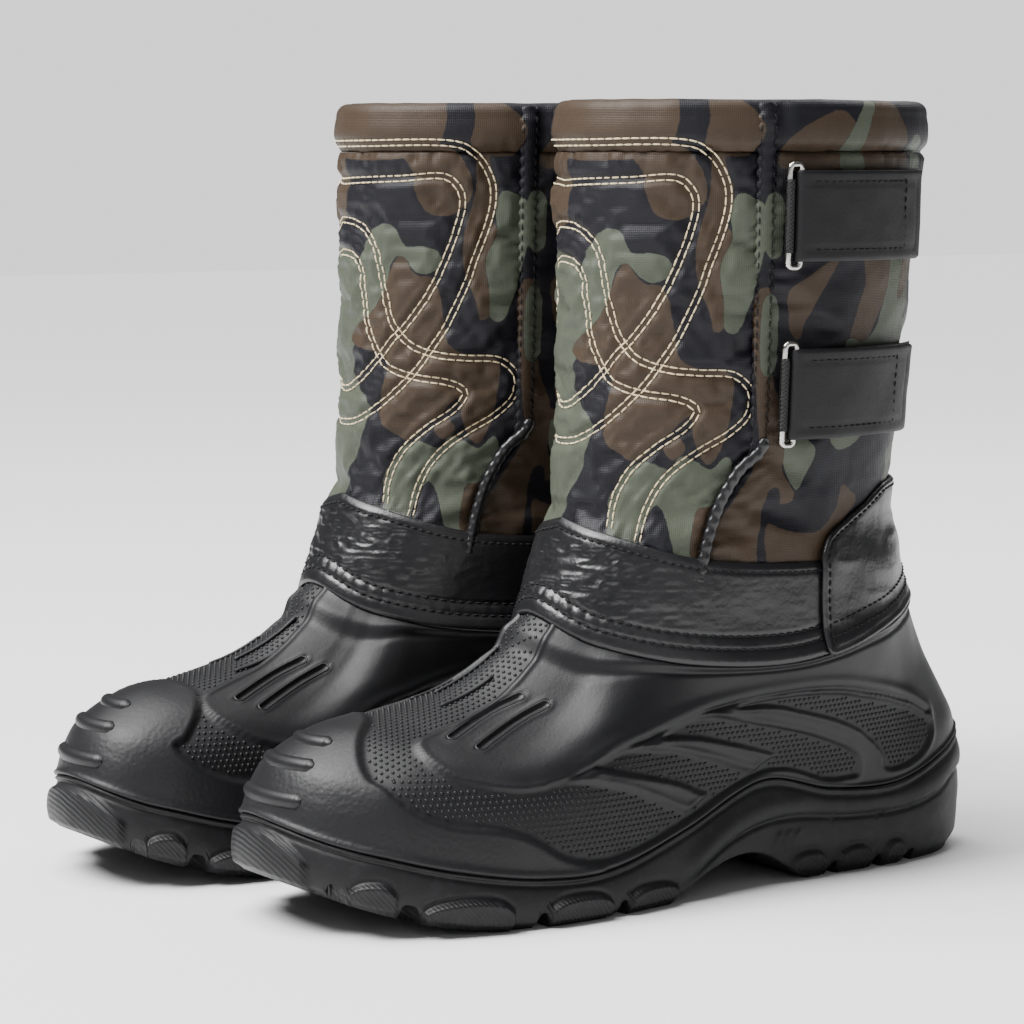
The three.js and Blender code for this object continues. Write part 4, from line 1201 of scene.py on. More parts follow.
def stitches(b, line, normals, pitch, length, radius, mat=0):
    """Single threads along a line of points, their ends sunk into the cloth."""
    run = run_of(line)
    at = np.arange(pitch / 2, run[-1], pitch)
    pick = lambda a, s: np.stack([np.interp(s, run, a[:, k]) for k in range(3)], -1)
    p, n = pick(line, at), unit(pick(normals, at))
    d = unit(pick(line, at + 0.4) - pick(line, at - 0.4))
    s = np.cross(n, d)
    turn = 2 * np.pi * np.arange(6) / 6
    rings = []
    for x, r, h in ((-1, 0.4, -0.9), (-0.72, 0.85, 0.1), (0, 1, 0.55), (0.72, 0.85, 0.1), (1, 0.4, -0.9)):
        c = p + d * x * length / 2 + n * (h * radius)
        spoke = s[:, None] * np.cos(turn)[:, None] + n[:, None] * np.sin(turn)[:, None]
        rings.append(c[:, None] + radius * r * spoke)
    v = np.concatenate(rings, 1)
    base = (np.arange(len(p)) * v.shape[1])[:, None]
    caps = [[0, 1, 2, 3], [0, 3, 4, 5], [27, 26, 25, 24], [29, 28, 27, 24]]
    f = np.vstack([grid_faces(5, 6, True)[:, ::-1], caps])
    b.add(v.reshape(-1, 3), [(base[:, None] + f).reshape(-1, 4)], mat)


def sew(b, angle, z, offset, pitch, length, radius, mat=1):
    """A row of stitches on the shaft."""
    stitches(b, on_shaft(angle, z, offset), shaft_normals(angle, z), pitch, length, radius, mat)


def shaft_normals(angle, z):
    _, a, c = section(np.asarray(z, float))
    r = np.radians(angle)
    return unit(np.stack([np.cos(r) / c, np.sin(r) / a, np.zeros_like(r)], -1))


# ---------------------------------------------------------------- shaft materials

def camo_material():
    m = Mat("camo_fabric", (0.02, 0.02, 0.02), 0.5, Specular_IOR_Level=0.24)
    ragged = m.calc("MULTIPLY", m.calc("SUBTRACT", m.noise(2.2, 3), 0.5), 1.1)
    green = m.span(m.calc("ADD", m.value("green"), ragged), -0.22, 0.22)
    brown = m.span(m.calc("ADD", m.value("brown"), ragged), -0.22, 0.22)
    shade = m.noise(14, 4)
    black = m.mix(shade, (0.0035, 0.0034, 0.006), (0.0065, 0.0062, 0.0102))
    c = m.mix(green, black, m.mix(shade, (0.052, 0.061, 0.043), (0.076, 0.087, 0.064)))
    c = m.mix(brown, c, m.mix(shade, (0.036, 0.0235, 0.0142), (0.054, 0.0355, 0.0222)))
    weave = m.calc("MULTIPLY", m.wave(0.95, (0.45, 0.45, 0.77)), m.wave(0.95, (0.45, 0.45, -0.77)))
    c = m.mix(m.calc("MULTIPLY", m.span(weave, -1, 1), 0.09), c, (0.012, 0.012, 0.012))
    m.color(c)
    m.bump(m.noise(11, 3, 0.6), 0.32, 0.7)
    m.bump(m.noise(3.2, 2), 0.25, 0.25)
    m.bump(weave, 0.4, 0.1)
    m.rough(m.scaled(m.noise(3, 3), 0.16, 0.42))
    return m.mat


def leather_material():
    m = Mat("coated_leather", (0.006, 0.006, 0.007), 0.33, Specular_IOR_Level=0.5)
    m.bump(m.noise(14, 4, 0.6), 0.3, 0.6)
    m.bump(m.cells(3.1, "SMOOTH_F1"), 0.3, 0.3)
    m.bump(m.cells(1.2, "SMOOTH_F1"), 0.4, 0.16)
    m.rough(m.calc("ADD", m.calc("MULTIPLY", m.noise(6, 4), 0.14), 0.27))
    m.color(m.mix(m.noise(12, 4), (0.0045, 0.0045, 0.0055), (0.008, 0.008, 0.0093)))
    return m.mat


def strap_material():
    m = Mat("strap_leather", (0.006, 0.006, 0.007), 0.5, Specular_IOR_Level=0.3)
    m.bump(m.noise(20, 3), 0.3, 0.7)
    m.bump(m.cells(0.9, "SMOOTH_F1"), 0.4, 0.12)
    m.rough(m.scaled(m.noise(2.5, 3), 0.14, 0.44))
    m.color(m.mix(m.noise(16, 4), (0.0045, 0.0045, 0.0055), (0.0072, 0.0072, 0.0085)))
    return m.mat


def thread_material(name, dark, pale):
    m = Mat(name, dark, 0.65, Specular_IOR_Level=0.25)
    m.bump(m.wave(0.55, (0.5, 0.3, 0.8)), 0.5, 0.08)
    m.color(m.mix(m.noise(3, 2), dark, pale))
    return m.mat


def webbing_material():
    m = Mat("webbing", (0.011, 0.011, 0.012), 0.62, Specular_IOR_Level=0.35)
    w = m.calc("MULTIPLY", m.wave(1.5, (0, 0, 1)), m.wave(1.5, (0.1, 1, 0)))
    m.bump(w, 0.7, 0.25)
    m.color(m.mix(m.span(w, -1, 1), (0.007, 0.007, 0.008), (0.017, 0.017, 0.018)))
    return m.mat


def hook_loop_material():
    m = Mat("hook_and_loop", (0.01, 0.01, 0.011), 0.85, Sheen_Weight=0.4)
    m.bump(m.cells(0.8), 0.9, 0.5)
    m.bump(m.noise(0.6, 3, 0.7), 0.6, 0.3)
    m.color(m.mix(m.noise(1.2, 3), (0.006, 0.006, 0.007), (0.022, 0.022, 0.024)))
    return m.mat


def wire_material():
    m = Mat("wire", (0.62, 0.60, 0.56), 0.2, Metallic=1.0)
    m.bump(m.noise(0.7, 3, 0.6), 0.2, 0.03)
    m.rough(m.scaled(m.noise(2, 4), 0.22, 0.12))
    m.color(m.mix(m.noise(4, 4), (0.4, 0.385, 0.36), (0.58, 0.565, 0.53)))
    return m.mat


def fleece_material():
    m = Mat("fleece", (0.2, 0.165, 0.12), 0.95, Sheen_Weight=0.6, Sheen_Roughness=0.6)
    m.bump(m.noise(2.6, 4, 0.7), 0.9, 1.2)
    m.bump(m.noise(0.7, 3, 0.7), 0.7, 0.4)
    m.color(m.mix(m.noise(3, 5, 0.7), (0.075, 0.062, 0.045), (0.2, 0.172, 0.128)))
    return m.mat


def felt_material():
    m = Mat("felt", (0.11, 0.1, 0.08), 0.95, Sheen_Weight=0.4)
    m.bump(m.noise(1.2, 4, 0.75), 0.8, 0.5)
    m.bump(m.noise(6, 3), 0.4, 0.6)
    m.color(m.mix(m.noise(1.6, 5, 0.75), (0.07, 0.062, 0.05), (0.17, 0.155, 0.125)))
    return m.mat


def insole_material():
    m = Mat("insole_foam", (0.05, 0.052, 0.056), 0.9)
    q = m.calc("MULTIPLY", m.wave(3.2, (1, 0.6, 0)), m.wave(3.2, (1, -0.6, 0)))
    m.bump(q, 0.6, 0.35)
    m.bump(m.noise(0.8, 3, 0.7), 0.5, 0.2)
    m.color(m.mix(m.noise(1.1, 4, 0.7), (0.035, 0.037, 0.041), (0.075, 0.077, 0.082)))
    return m.mat


# ---------------------------------------------------------------- shaft pieces

def panel_offset(side, angle, z, front):
    """The padded cloth's outer face, out from the CAD face."""
    u = arc_of(angle)
    off = 1.25 * puff(side, angle, z) - 1.5
    seam, half_turn = arc_of(seam_angle(z)), FULL_TURN / 2
    edge = np.minimum(np.abs(u - seam), np.abs((u + half_turn + seam + half_turn) % FULL_TURN - half_turn))
    pucker = 0.35 * np.sin(z * 1.35 + 2 * lattice_noise(u, z, 5, 9)) * bell(edge - 4.5, 3.5)
    off = off - 1.5 * bell(edge, 3.0) + pucker
    off = off - 0.3 * bell(z - SEAM_Z, 2.2)
    gather = 0.7 * lattice_noise(u, z * 0.2, 9, 2.6) * bell(z - SEAM_Z, 6)
    soft = (0.6 * lattice_noise(u, z, 21, 23) + 0.45 * lattice_noise(u, z, 22, 11)
            + 0.16 * lattice_noise(u, z, 23, 4.5))
    if front:
        d = gap_to(ROWS, world_wrap(world_u(u, side)), z)
        off = off - 0.6 * bell(d, 1.1) + 0.3 * bell(d - 2.8, 1.6)
    else:        # pressed flat under the straps
        near = np.maximum(bell(z - STRAPS["upper"], 15), bell(z - STRAPS["lower"], 15))
        strap = near * bell(np.clip(angle - 25, 0, 99), 30)
        off = np.where((angle > -25) & (angle < 70), np.minimum(off, 0.35 - 0.2 * strap), off)
    low = ease(z, 118, 132)
    return np.minimum((off + gather + soft) * (0.4 + 0.6 * low), 2.2)


def panel_piece(side, front, mat):
    way = -1 if front else 1
    s = np.linspace(0, 1, 168 if front else 186)[None, :]
    r = np.linspace(0, 1, 132)[:, None]
    between = lambda edge: edge + (way * 180 - 2 * edge) * s
    bottom = np.maximum(band_z(between(seam_angle(200.0))) - 7, 112)
    z = bottom + (SEAM_Z - bottom) * r
    angle = between(seam_angle(z, way * 0.3))
    if front:
        angle, z = angle[:, ::-1], z[:, ::-1]
    outer = on_shaft(angle, z, panel_offset(side, angle, z, front))
    inner = on_shaft(angle, z, -PANEL + 0.1)
    b = Build().add(*slab(outer, inner), **both_faces(camouflage(side, arc_of(angle), z)))
    name = "front_panel" if front else "back_panel"
    piece = b.make(name, side, mat, slot="camo_fabric", node=name)
    return piece


def cream_piece(side, mat):
    """The double stitching, on the panel and over the seam onto the collar."""
    b = Build()
    for row in ROWS:
        angle, z = angle_of(world_u(row[:, 0], side)), row[:, 1]
        seen = z > band_z(angle) - 1
        angle, z = angle[seen], z[seen]
        off = np.where(z > SEAM_Z, collar_offset(side, angle, z), panel_offset(side, angle, z, True))
        off = np.where(np.abs(z - SEAM_Z - 0.5) < 3, np.maximum(off, -0.5), off)
        p = on_shaft(angle, z, off + 0.2)
        cut = np.flatnonzero(np.linalg.norm(np.diff(p, axis=0), axis=1) > 4) + 1
        for part, pa, pz in zip(np.split(p, cut), np.split(angle, cut), np.split(z, cut)):
            if len(part) > 6:
                stitches(b, part, shaft_normals(pa, pz), 3.6, 3.45, 0.34)
    return b.make("front_stitching", side, mat)


COLLAR_RISE, COLLAR_DEPTH = 13.4, 10.0        # height of the collar's straight part, and how far in it goes


def collar_wave(u):
    return 0.5 * lattice_noise(u, 0, 31, 19) + 0.35 * lattice_noise(u, 0, 32, 8)


def collar_offset(side, angle, z):
    """The padded collar's outer face: full in the middle, drawn in at the gathered seam and the stitches."""
    u = world_wrap(arc_of(angle))
    s = np.clip((z - SEAM_Z) / COLLAR_RISE, 0, 1)
    ripple = 0.75 * lattice_noise(u, 3, 33, 2.6) * np.exp(-(s * 3.0) ** 2)
    tape = arc_of(-18.0)
    tapes = np.minimum(np.abs(u - tape), np.abs(u + FULL_TURN / 2 + tape))
    off = 1.75 * np.sin(np.pi * np.clip(s * 0.75 + 0.12, 0, 1)) + collar_wave(u) * s
    off = off - 1.9 * np.exp(-(s * 6) ** 2) + ripple - 1.5 * bell(tapes, 3.4) - 0.35
    d = gap_to(ROWS, world_wrap(world_u(u, side)), np.broadcast_to(z, u.shape))
    return off - 0.6 * bell(d, 1.1)


def collar_piece(side, mat):
    """A closed ring: up the outer face, over the top and down the inside."""
    cols = 360
    angle = np.linspace(-270, 90, cols, endpoint=False)[None, :]
    wave = collar_wave(arc_of(angle))
    offs, zs = [], []
    for z in np.linspace(SEAM_Z + 0.08, SEAM_Z + COLLAR_RISE, 20):
        offs.append(collar_offset(side, angle, z))
        zs.append(np.full(angle.shape, z))
    last = offs[-1]
    for q in np.linspace(0, math.pi, 14)[1:]:
        offs.append((last - COLLAR_DEPTH) / 2 + (last + COLLAR_DEPTH) / 2 * math.cos(q))
        zs.append(SEAM_Z + COLLAR_RISE + (5.9 + 0.35 * wave) * math.sin(q) ** 0.8)
    for s in np.linspace(1, 0, 9)[1:]:
        offs.append(-COLLAR_DEPTH - 0.75 * math.sin(math.pi * s) + 0.25 * wave * math.sin(math.pi * s))
        zs.append(np.full(angle.shape, SEAM_Z + 0.2 + s * (COLLAR_RISE - 0.2)))
    offs, zs = np.vstack(offs), np.vstack(zs)
    A = np.broadcast_to(angle, offs.shape)
    p = on_shaft(A, zs, offs)
    k = np.arange(cols)
    end = (len(p) - 1) * cols
    bottom = np.stack([end + k, end + join(k), join(k), k], -1)
    b = Build().add(p, [grid_faces(len(p), cols, True), bottom], **camouflage(side, arc_of(A), zs))
    piece = b.make("collar", side, mat, slot="camo_fabric", node="collar")
    return piece


TAPE_HALF = 3.5
# The piping's middle line: distance round, height
PIPING = [(-21.5, 170), (-23.5, 166), (-30, 160.5), (-34.5, 153), (-37.5, 145), (-38.6, 134), (-38.6, 119)]


def tape_angle(inner, shift, z):
    """A place on a side seam's tape, shift mm from its middle."""
    angle = angle_at(SEAM_Y - 1.4 - follow(SEAM_SWEEP, z) + shift, z)
    return 180 - angle if inner else angle


def tape_roll(z):
    """The tape's rise over the collar's gathers and its turn in at the top."""
    return 1.2 * ease(z, 280, 287) - 2.2 * ease(z, 288, 295)


def tape_piece(side, inner, camo, leather, thread):
    """The puckered tape over a side seam, and the piping that sweeps down from it."""
    b = Build()
    z = np.linspace(163, 295, 150)[:, None]
    s = np.linspace(-1, 1, 9)[None, :]
    gathers = np.sin(z * 1.5 + 1.5 * lattice_noise(z, 0, 41, 14))
    angle = tape_angle(inner, s * TAPE_HALF * (1 + 0.13 * gathers * np.abs(s)), z)
    hump = 2.0 * np.sqrt(np.clip(1 - s ** 2 * 0.94, 0, 1)) - 0.35
    off = -0.75 + hump + 0.35 * gathers * np.abs(s) ** 2 + 0.25 * lattice_noise(z, s * 3, 42, 5) + tape_roll(z)
    outer = on_shaft(angle, z, off)
    under = on_shaft(angle, z, np.minimum(off - 0.5, -0.9 + tape_roll(z)))
    if inner:
        outer, under, angle = outer[:, ::-1], under[:, ::-1], angle[:, ::-1]
    colors = camouflage(side, arc_of(angle), np.broadcast_to(z, angle.shape))
    b.add(*slab(outer, under), **both_faces(colors))
    z = np.linspace(166, 292, 130)
    for share in (-0.72, 0.72):
        sew(b, tape_angle(inner, share * TAPE_HALF, z), z, 0.5 + tape_roll(z), 4.2, 2.6, 0.3, 2)
    line = spline(PIPING, 1.0)
    if inner:
        line[:, 0] = -FULL_TURN / 2 - line[:, 0]
    a = angle_of(line[:, 0])
    beat = np.arange(len(line)) * 1.45
    p = on_shaft(a, line[:, 1], 0.9)
    up = shaft_normals(a, line[:, 1]).mean(0)
    b.add(*tube(p, 2.25 + 0.22 * np.sin(beat), 12, up=up, flat=0.8), 1)
    row = line + leftward(line) * (2.3 if inner else -2.3)
    sew(b, angle_of(row[:, 0]), row[:, 1], 0.55, 2.6, 1.2, 0.28, 2)
    name = "inner_seam_tape" if inner else "outer_seam_tape"
    return b.make(name, side, [camo, leather, thread], slot="camo_fabric", node=name)


# Heights of the stitch rows above the galosh's rim, and of the band's third row below its top
ROW_HIGH, ROW_LOW, ROW_TOP = 9.4, 4.6, 3.4
SUNK = 1.6                       # how far the band goes down behind the rim


def band_rise(angle, z):
    """How far up the band a place is, 0 at its lower edge and 1 at its top."""
    return (z - rim_z(angle) + SUNK) / (band_z(angle) - rim_z(angle) + SUNK)


def band_surface(angle, z, rise):
    """Offset of the ankle band's outer face; rise is 0 at its lower edge and 1 at its top."""
    u = arc_of(angle)
    front = 0.13 + 0.87 * bell(np.clip(np.abs(((angle + 90 + 180) % 360) - 180) - 26, 0, 180), 26)
    off = 2.55 + 2.6 * bell(rise, 0.2) - 0.9 * ease(rise, 0.9, 1.0)
    creases = 0.6 * np.abs(lattice_noise(u * 0.4, z, 51, 2.4))
    creases = creases + 0.35 * np.abs(lattice_noise(u * 0.4 + z * 0.35, z, 52, 5.5))
    creases = creases + 0.3 * np.abs(lattice_noise(u * 0.5 - z * 0.3, z, 55, 2.4))
    off = off - creases * front * ease(rise, 0.2, 0.38) * (1 - ease(rise, 0.84, 0.95))
    off = off + 0.4 * lattice_noise(u, z, 53, 17) * (1 - bell(rise, 0.25))
    tuck = np.abs(np.sin(u * math.pi / 5.2 + 0.8 * lattice_noise(u, 0, 54, 20)))
    above = z - rim_z(angle)
    off = off + 0.5 * front * (tuck - 0.5) * bell(above - 6.8, 2.6)
    off = off - 0.5 * bell(above - ROW_HIGH, 0.9) - 0.45 * bell(above - ROW_LOW, 0.8)
    return off - 0.4 * bell(z - band_z(angle) + ROW_TOP, 0.8)


def band_piece(side, leather, thread):
    angle = np.linspace(-270, 90, 620, endpoint=False)[None, :]
    low, high = rim_z(angle) - SUNK, band_z(angle)
    rise = np.linspace(0, 1, 60)[:, None]
    z = low + (high - low) * rise
    A = np.broadcast_to(angle, z.shape)
    R = np.broadcast_to(rise, z.shape)
    off = band_surface(A, z, R)
    edge = 0.55 * (bell(R, 0.025) + bell(1 - R, 0.02))
    outer = on_shaft(A, z, off - edge)
    inner = on_shaft(A, z, np.maximum(off - 1.4, 0.9))
    b = Build().add(*slab(outer, inner, True))
    a = np.linspace(-270, 90, 1500)
    for z, pitch in ((rim_z(a) + ROW_HIGH, 3.6), (rim_z(a) + ROW_LOW, 3.6), (band_z(a) - ROW_TOP, 3.2)):
        sew(b, a, z, band_surface(a, z, band_rise(a, z)) + 0.1, pitch, pitch * 0.78, 0.42)
    return b.make("ankle_band", side, [leather, thread], slot="coated_leather", node="ankle_band")


# The patch spans from PATCH_START to the same angle on the other side; its top edge is (angle, height)
PATCH_START = 8.0
PATCH_END = 180 - PATCH_START
PATCH_TOP = [[8, 126], [9.5, 130], [12, 134], [19, 138.5], [27, 143], [35, 147.5], [42, 150.4], [60, 151],
             [90, 151]]


def patch_offset(angle, z):
    """The patch lies over the band and steps in to the cloth above it."""
    rise = np.clip(band_rise(angle, z), 0, 1)
    over = 2.55 + 2.6 * bell(rise, 0.2) + 2.5
    above = ease(z - band_z(angle), -3.0, 15.0)
    over = over * (1 - above) + 2.6 * above
    u = arc_of(angle)
    return over + 0.45 * lattice_noise(u, z, 61, 13) - 0.45 * np.abs(lattice_noise(u * 0.6, z, 62, 7))


def patch_piece(side, leather, thread):
    angle = np.linspace(PATCH_START, PATCH_END, 250)[None, :]
    corner = np.clip(1 - (np.minimum(angle - PATCH_START, PATCH_END - angle)) / 2.6, 0, 1)
    low = rim_z(angle) - 2.6 + 3.2 * (1 - np.sqrt(1 - corner ** 2))
    low = low + 1.2 * ease(np.minimum(angle, 180 - angle), 12, 40)
    high = follow(PATCH_TOP, fold(angle))
    z = low + (high - low) * np.linspace(0, 1, 56)[:, None]
    A = np.broadcast_to(angle, z.shape)
    from_side = arc_of(np.minimum(A, 180 - A)) - arc_of(PATCH_START)
    d = np.minimum(np.minimum(z - low, high - z), from_side)
    face = patch_offset(A, z)
    off = face - 0.9 * (1 - np.sqrt(1 - np.clip(1 - d / 1.1, 0, 1) ** 2)) - 0.35 * bell(d - 2.6, 0.7)
    b = Build().add(*slab(on_shaft(A, z, off), on_shaft(A, z, face - 1.9)))
    across = np.linspace(PATCH_START, PATCH_END, 500)
    a = np.concatenate([np.full(20, PATCH_START), across, np.full(20, PATCH_END)])
    top = follow(PATCH_TOP, fold(a))
    top[:20] = np.linspace(rim_z(PATCH_START) + 1, top[20], 20)
    top[-20:] = np.linspace(top[-21], rim_z(PATCH_END) + 1, 20)
    line = np.column_stack([arc_of(a), top])
    line = line[np.concatenate([[True], np.linalg.norm(np.diff(line, axis=0), axis=1) > 0.05])]
    line = resample(line - leftward(line) * 2.6, 1.0)
    a, z = angle_of(line[:, 0]), line[:, 1]
    sew(b, a, z, patch_offset(a, z) - 0.2, 3.3, 2.6, 0.42)
    a = np.linspace(10.5, 169.5, 700)
    for up in (ROW_HIGH, ROW_LOW):
        z = rim_z(a) + up
        sew(b, a, z, patch_offset(a, z) + 0.05, 3.6, 2.8, 0.42)
    return b.make("heel_patch", side, [leather, thread], slot="coated_leather", node="heel_patch")


def shaft_lining_piece(side, mat):
    angle = np.linspace(-270, 90, 210, endpoint=False)[None, :]
    low = rim_z(angle) + 1.4
    z = low + (SEAM_Z - low) * np.linspace(0, 1, 78)[:, None]
    A = np.broadcast_to(angle, z.shape)
    u = arc_of(A)
    fuzz = 0.5 * lattice_noise(u, z, 71, 2.6) + 0.5 * lattice_noise(u, z, 72, 6)
    fuzz = fuzz + 0.6 * lattice_noise(u, z, 73, 25)
    outer = on_shaft(A, z, -PANEL - LAYER)
    inner = on_shaft(A, z, -PANEL - LAYER - 4.6 + fuzz * 0.8)
    b = Build().add(*slab(outer, inner, True))
    b.make("shaft_lining", side, mat, slot="fleece", node="shaft_lining")


def ringed(rows):
    """A closed piece from rows of points that each run once round the foot."""
    rows = np.stack(rows)
    return Build().add(rows, grid_faces(len(rows), rows.shape[1], True))


LINER_LOW, LINER_HIGH = 18.7, 21.7        # heights of the liner's underside and of its floor


def foot_liner_piece(side, mat):
    t = shell_t[::3]
    outer, inner = outline(t, 8.0), outline(t, 11.0)
    turn = np.maximum(parting(t), above_sole(22.5, outer[:, 1]))
    mid = np.stack([middle_x(outer[:, 1]), np.clip(outer[:, 1], -125, 100)], -1)
    outside = [np.column_stack([mid, above_sole(LINER_LOW, mid[:, 1])]),
               np.column_stack([outline(t, 9.0), above_sole(LINER_LOW, outer[:, 1])]),
               np.column_stack([outer, turn]), *shell_inside(5.0)[4:]]
    felt_rows = [*shell_inside(8.0)[4:][::-1], np.column_stack([inner, turn])]
    for i, r in enumerate(felt_rows):
        if 2 < i < len(felt_rows) - 1:
            fuzz = 0.5 * lattice_noise(np.arange(len(r)) * 3.9, r[:, 2], 81, 4)
            felt_rows[i] = r + unit(r - [0, 0, 60.0]) * fuzz[:, None]
    floor = [np.column_stack([outline(t, 12.0), above_sole(LINER_HIGH, inner[:, 1])]),
             np.column_stack([mid, above_sole(LINER_HIGH, mid[:, 1])])]
    b = ringed(outside + felt_rows + floor)
    b.make("foot_liner", side, mat, slot="felt", node="foot_liner")


def insole_piece(side, mat):
    t = (np.arange(240) + 0.5) / 240 - 0.5
    edge = outline(t, 13.4)
    mid = np.stack([middle_x(edge[:, 1]), np.clip(edge[:, 1], -112, 92)], -1)

    def row(q, up, cup=0.0):
        """A row drawn in to the share q of the way out, up mm above the underside, its heel cupped."""
        p = mid + (edge - mid) * q
        z = above_sole(22.1, p[:, 1]) + up + cup * q ** 3 * ease(p[:, 1], -20, 60)
        return np.column_stack([p, z])

    rows = [row(q, 0) for q in (0, 0.5, 0.97)] + [row(1, 1), row(1, 3.6)]
    rows += [row(q, 5, 2.2) for q in (0.98, 0.9, 0.8, 0.65, 0.5, 0.35, 0.2, 0.08, 0)]
    ringed(rows).make("insole", side, mat, slot="insole_foam", node="insole")


# ---------------------------------------------------------------- straps

STRAPS = {"upper": 253.5, "lower": 187.5}
# Wire radius, the bars' distance off the shaft, play round a bar, thickness of tab and strap, gap of layers
WIRE, BAR_OFF, PLAY, TAB_T, STRAP_T, GAP = 1.2, 3.6, 0.25, 0.5, 1.0, 0.3
TAB_REACH = WIRE + PLAY + TAB_T / 2
FLAP_REACH = WIRE + PLAY + STRAP_T / 2
FRONT_BAR = SEAM_Y + 3 + GAP + TAB_REACH + TAB_T / 2
REAR_BAR = FRONT_BAR + TAB_REACH + TAB_T / 2 + GAP + FLAP_REACH + STRAP_T / 2
FLAP_OFF = BAR_OFF + FLAP_REACH
STRAP_W, TAB_W, PAD_W, PAD_T = 33.5, 27.0, 27.0, 0.9
FLAP_END, PAD_START, PAD_END = 90.5, 34, 85        # ends along the shaft (y)


def bar(y, z):
    """An upright ring bar: its centre, the way out from the shaft and the way back along it."""
    a = angle_at(y, z, BAR_OFF)
    c = on_shaft(a, z, BAR_OFF)
    back = unit(on_shaft(a + 1, z, BAR_OFF) - c)
    return c, np.stack([back[..., 1], -back[..., 0], np.zeros_like(back[..., 0])], -1), back


def beside(y, z, arc, radius):
    """A point at a radius from an upright bar, arc degrees round it from the front."""
    c, out, back = bar(y, z)
    r = np.radians(arc)
    radius = np.asarray(radius, float)[..., None]
    return c + out * (radius * np.sin(r)) - back * (radius * np.cos(r))


def ring_piece(side, level, mat):
    zc = STRAPS[level]
    reach, corner = STRAP_W / 2 + WIRE + 1, 1.7
    lo, hi = zc - reach, zc + reach
    turn = np.radians([18, 40, 62, 80])

    def bend(y, inward, z, up, angles):
        """A round corner: inward and up say which way it lies from its bar and its end."""
        return [(y + inward * corner * (1 - math.cos(q)), z - up * corner + up * corner * math.sin(q))
                for q in angles]

    straight_z = np.linspace(lo + corner, hi - corner, 12)
    places = ([(FRONT_BAR, z) for z in straight_z]
              + bend(FRONT_BAR, 1, hi, 1, turn) + bend(REAR_BAR, -1, hi, 1, turn[::-1])
              + [(REAR_BAR, z) for z in straight_z[::-1]]
              + bend(REAR_BAR, -1, lo, -1, turn) + bend(FRONT_BAR, 1, lo, -1, turn[::-1]))
    line = bar(*np.array(places, float).T)[0]
    b = Build().add(*tube(line, WIRE, 12, True))
    return b.make(f"{level}_ring", side, mat, body=f"{level}_ring_body", slot="wire", node=f"{level}_ring")


def box_stitch(b, level, ends, half_width, offset, face, length, radius):
    """Stitches along three sides of a strap: ends are the first and the last place (y)."""
    corners = [(ends[0], -half_width), (ends[1], -half_width), (ends[1], half_width), (ends[0], half_width)]
    y, z = resample(corners, 1.0).T
    z = z + STRAPS[level]
    sew(b, angle_at(y, z, offset), z, face, 3.4, length, radius)


def flap_piece(side, level, mat, thread):
    zc = STRAPS[level]
    across = np.concatenate([[-1, -0.985, -0.95], np.linspace(-0.9, 0.9, 22), [0.95, 0.985, 1]])
    zs = across * STRAP_W / 2
    edge = STRAP_T / 2 * np.sqrt(np.clip(1 - np.abs(across) ** 30, 0.04, 1))
    outer, inner = [], []
    for arc in np.linspace(-60, 90, 14):
        outer.append(beside(REAR_BAR, zc + zs, arc, FLAP_REACH + edge))
        inner.append(beside(REAR_BAR, zc + zs, arc, FLAP_REACH - edge))
    for y in np.linspace(REAR_BAR + 2, FLAP_END, 90):
        end = np.clip((y - 87.3) / 3.2, 0, 1)
        z = zc + zs * (1 - 0.19 * (1 - math.sqrt(1 - end ** 2)))
        wave = (0.35 * lattice_noise(y, z, 96, 19) + 0.2 * lattice_noise(y, z, 92, 8)) * ease(y, 30, 40)
        d = np.minimum(STRAP_W / 2 - np.abs(z - zc), FLAP_END - y)
        groove = -0.3 * bell(d - 4.2, 0.7)
        t = (STRAP_T / 2 + 0.15) * (0.35 + 0.65 * ease(d, 0, 0.8))
        off = FLAP_OFF + 0.1 + wave + groove
        a = angle_at(y, z, FLAP_OFF)
        outer.append(on_shaft(a, z, off + t))
        inner.append(on_shaft(a, z, np.maximum(off - t, FLAP_OFF - STRAP_T / 2 - 0.15)))
    b = Build().add(*slab(np.stack(outer, 1), np.stack(inner, 1)))
    box_stitch(b, level, (REAR_BAR + 5, 78), STRAP_W / 2 - 4.2, FLAP_OFF, FLAP_OFF + 0.55, 2.7, 0.36)
    return b.make(f"{level}_strap_flap", side, [mat, thread], body=f"{level}_flap_body", slot="coated_leather",
                  node=f"{level}_strap_flap")


def layer_piece(side, level, name, y0, y1, width, offset, thick, mat, body="boot", slot="webbing", rough=0.0,
                thread=None):
    """A flat strip along the shaft from y0 to y1, its middle at the offset."""
    zc = STRAPS[level]
    zs = np.linspace(-width / 2, width / 2, 30)[:, None]
    ys = np.linspace(y0, y1, 64)[None, :]
    z = np.broadcast_to(zc + zs, (zs.size, ys.size))
    d = np.minimum(width / 2 - np.abs(zs), np.minimum(ys - y0, y1 - ys))
    t = thick / 2 * (0.4 + 0.6 * ease(d, 0, 0.7))
    a = angle_at(ys, z, offset)
    bumpy = rough * lattice_noise(ys, z, 17, 1.7)
    outer, inner = on_shaft(a, z, offset + t + bumpy), on_shaft(a, z, offset - t)
    b = Build().add(*slab(outer, inner))
    mats = [mat]
    if thread:
        mats.append(thread)
        box_stitch(b, level, (y0 + 3, y1 - 3), width / 2 - 3, offset, offset + thick / 2, 2.6, 0.3)
    return b.make(f"{level}_{name}", side, mats, body=body, slot=slot, node=f"{level}_{name}")


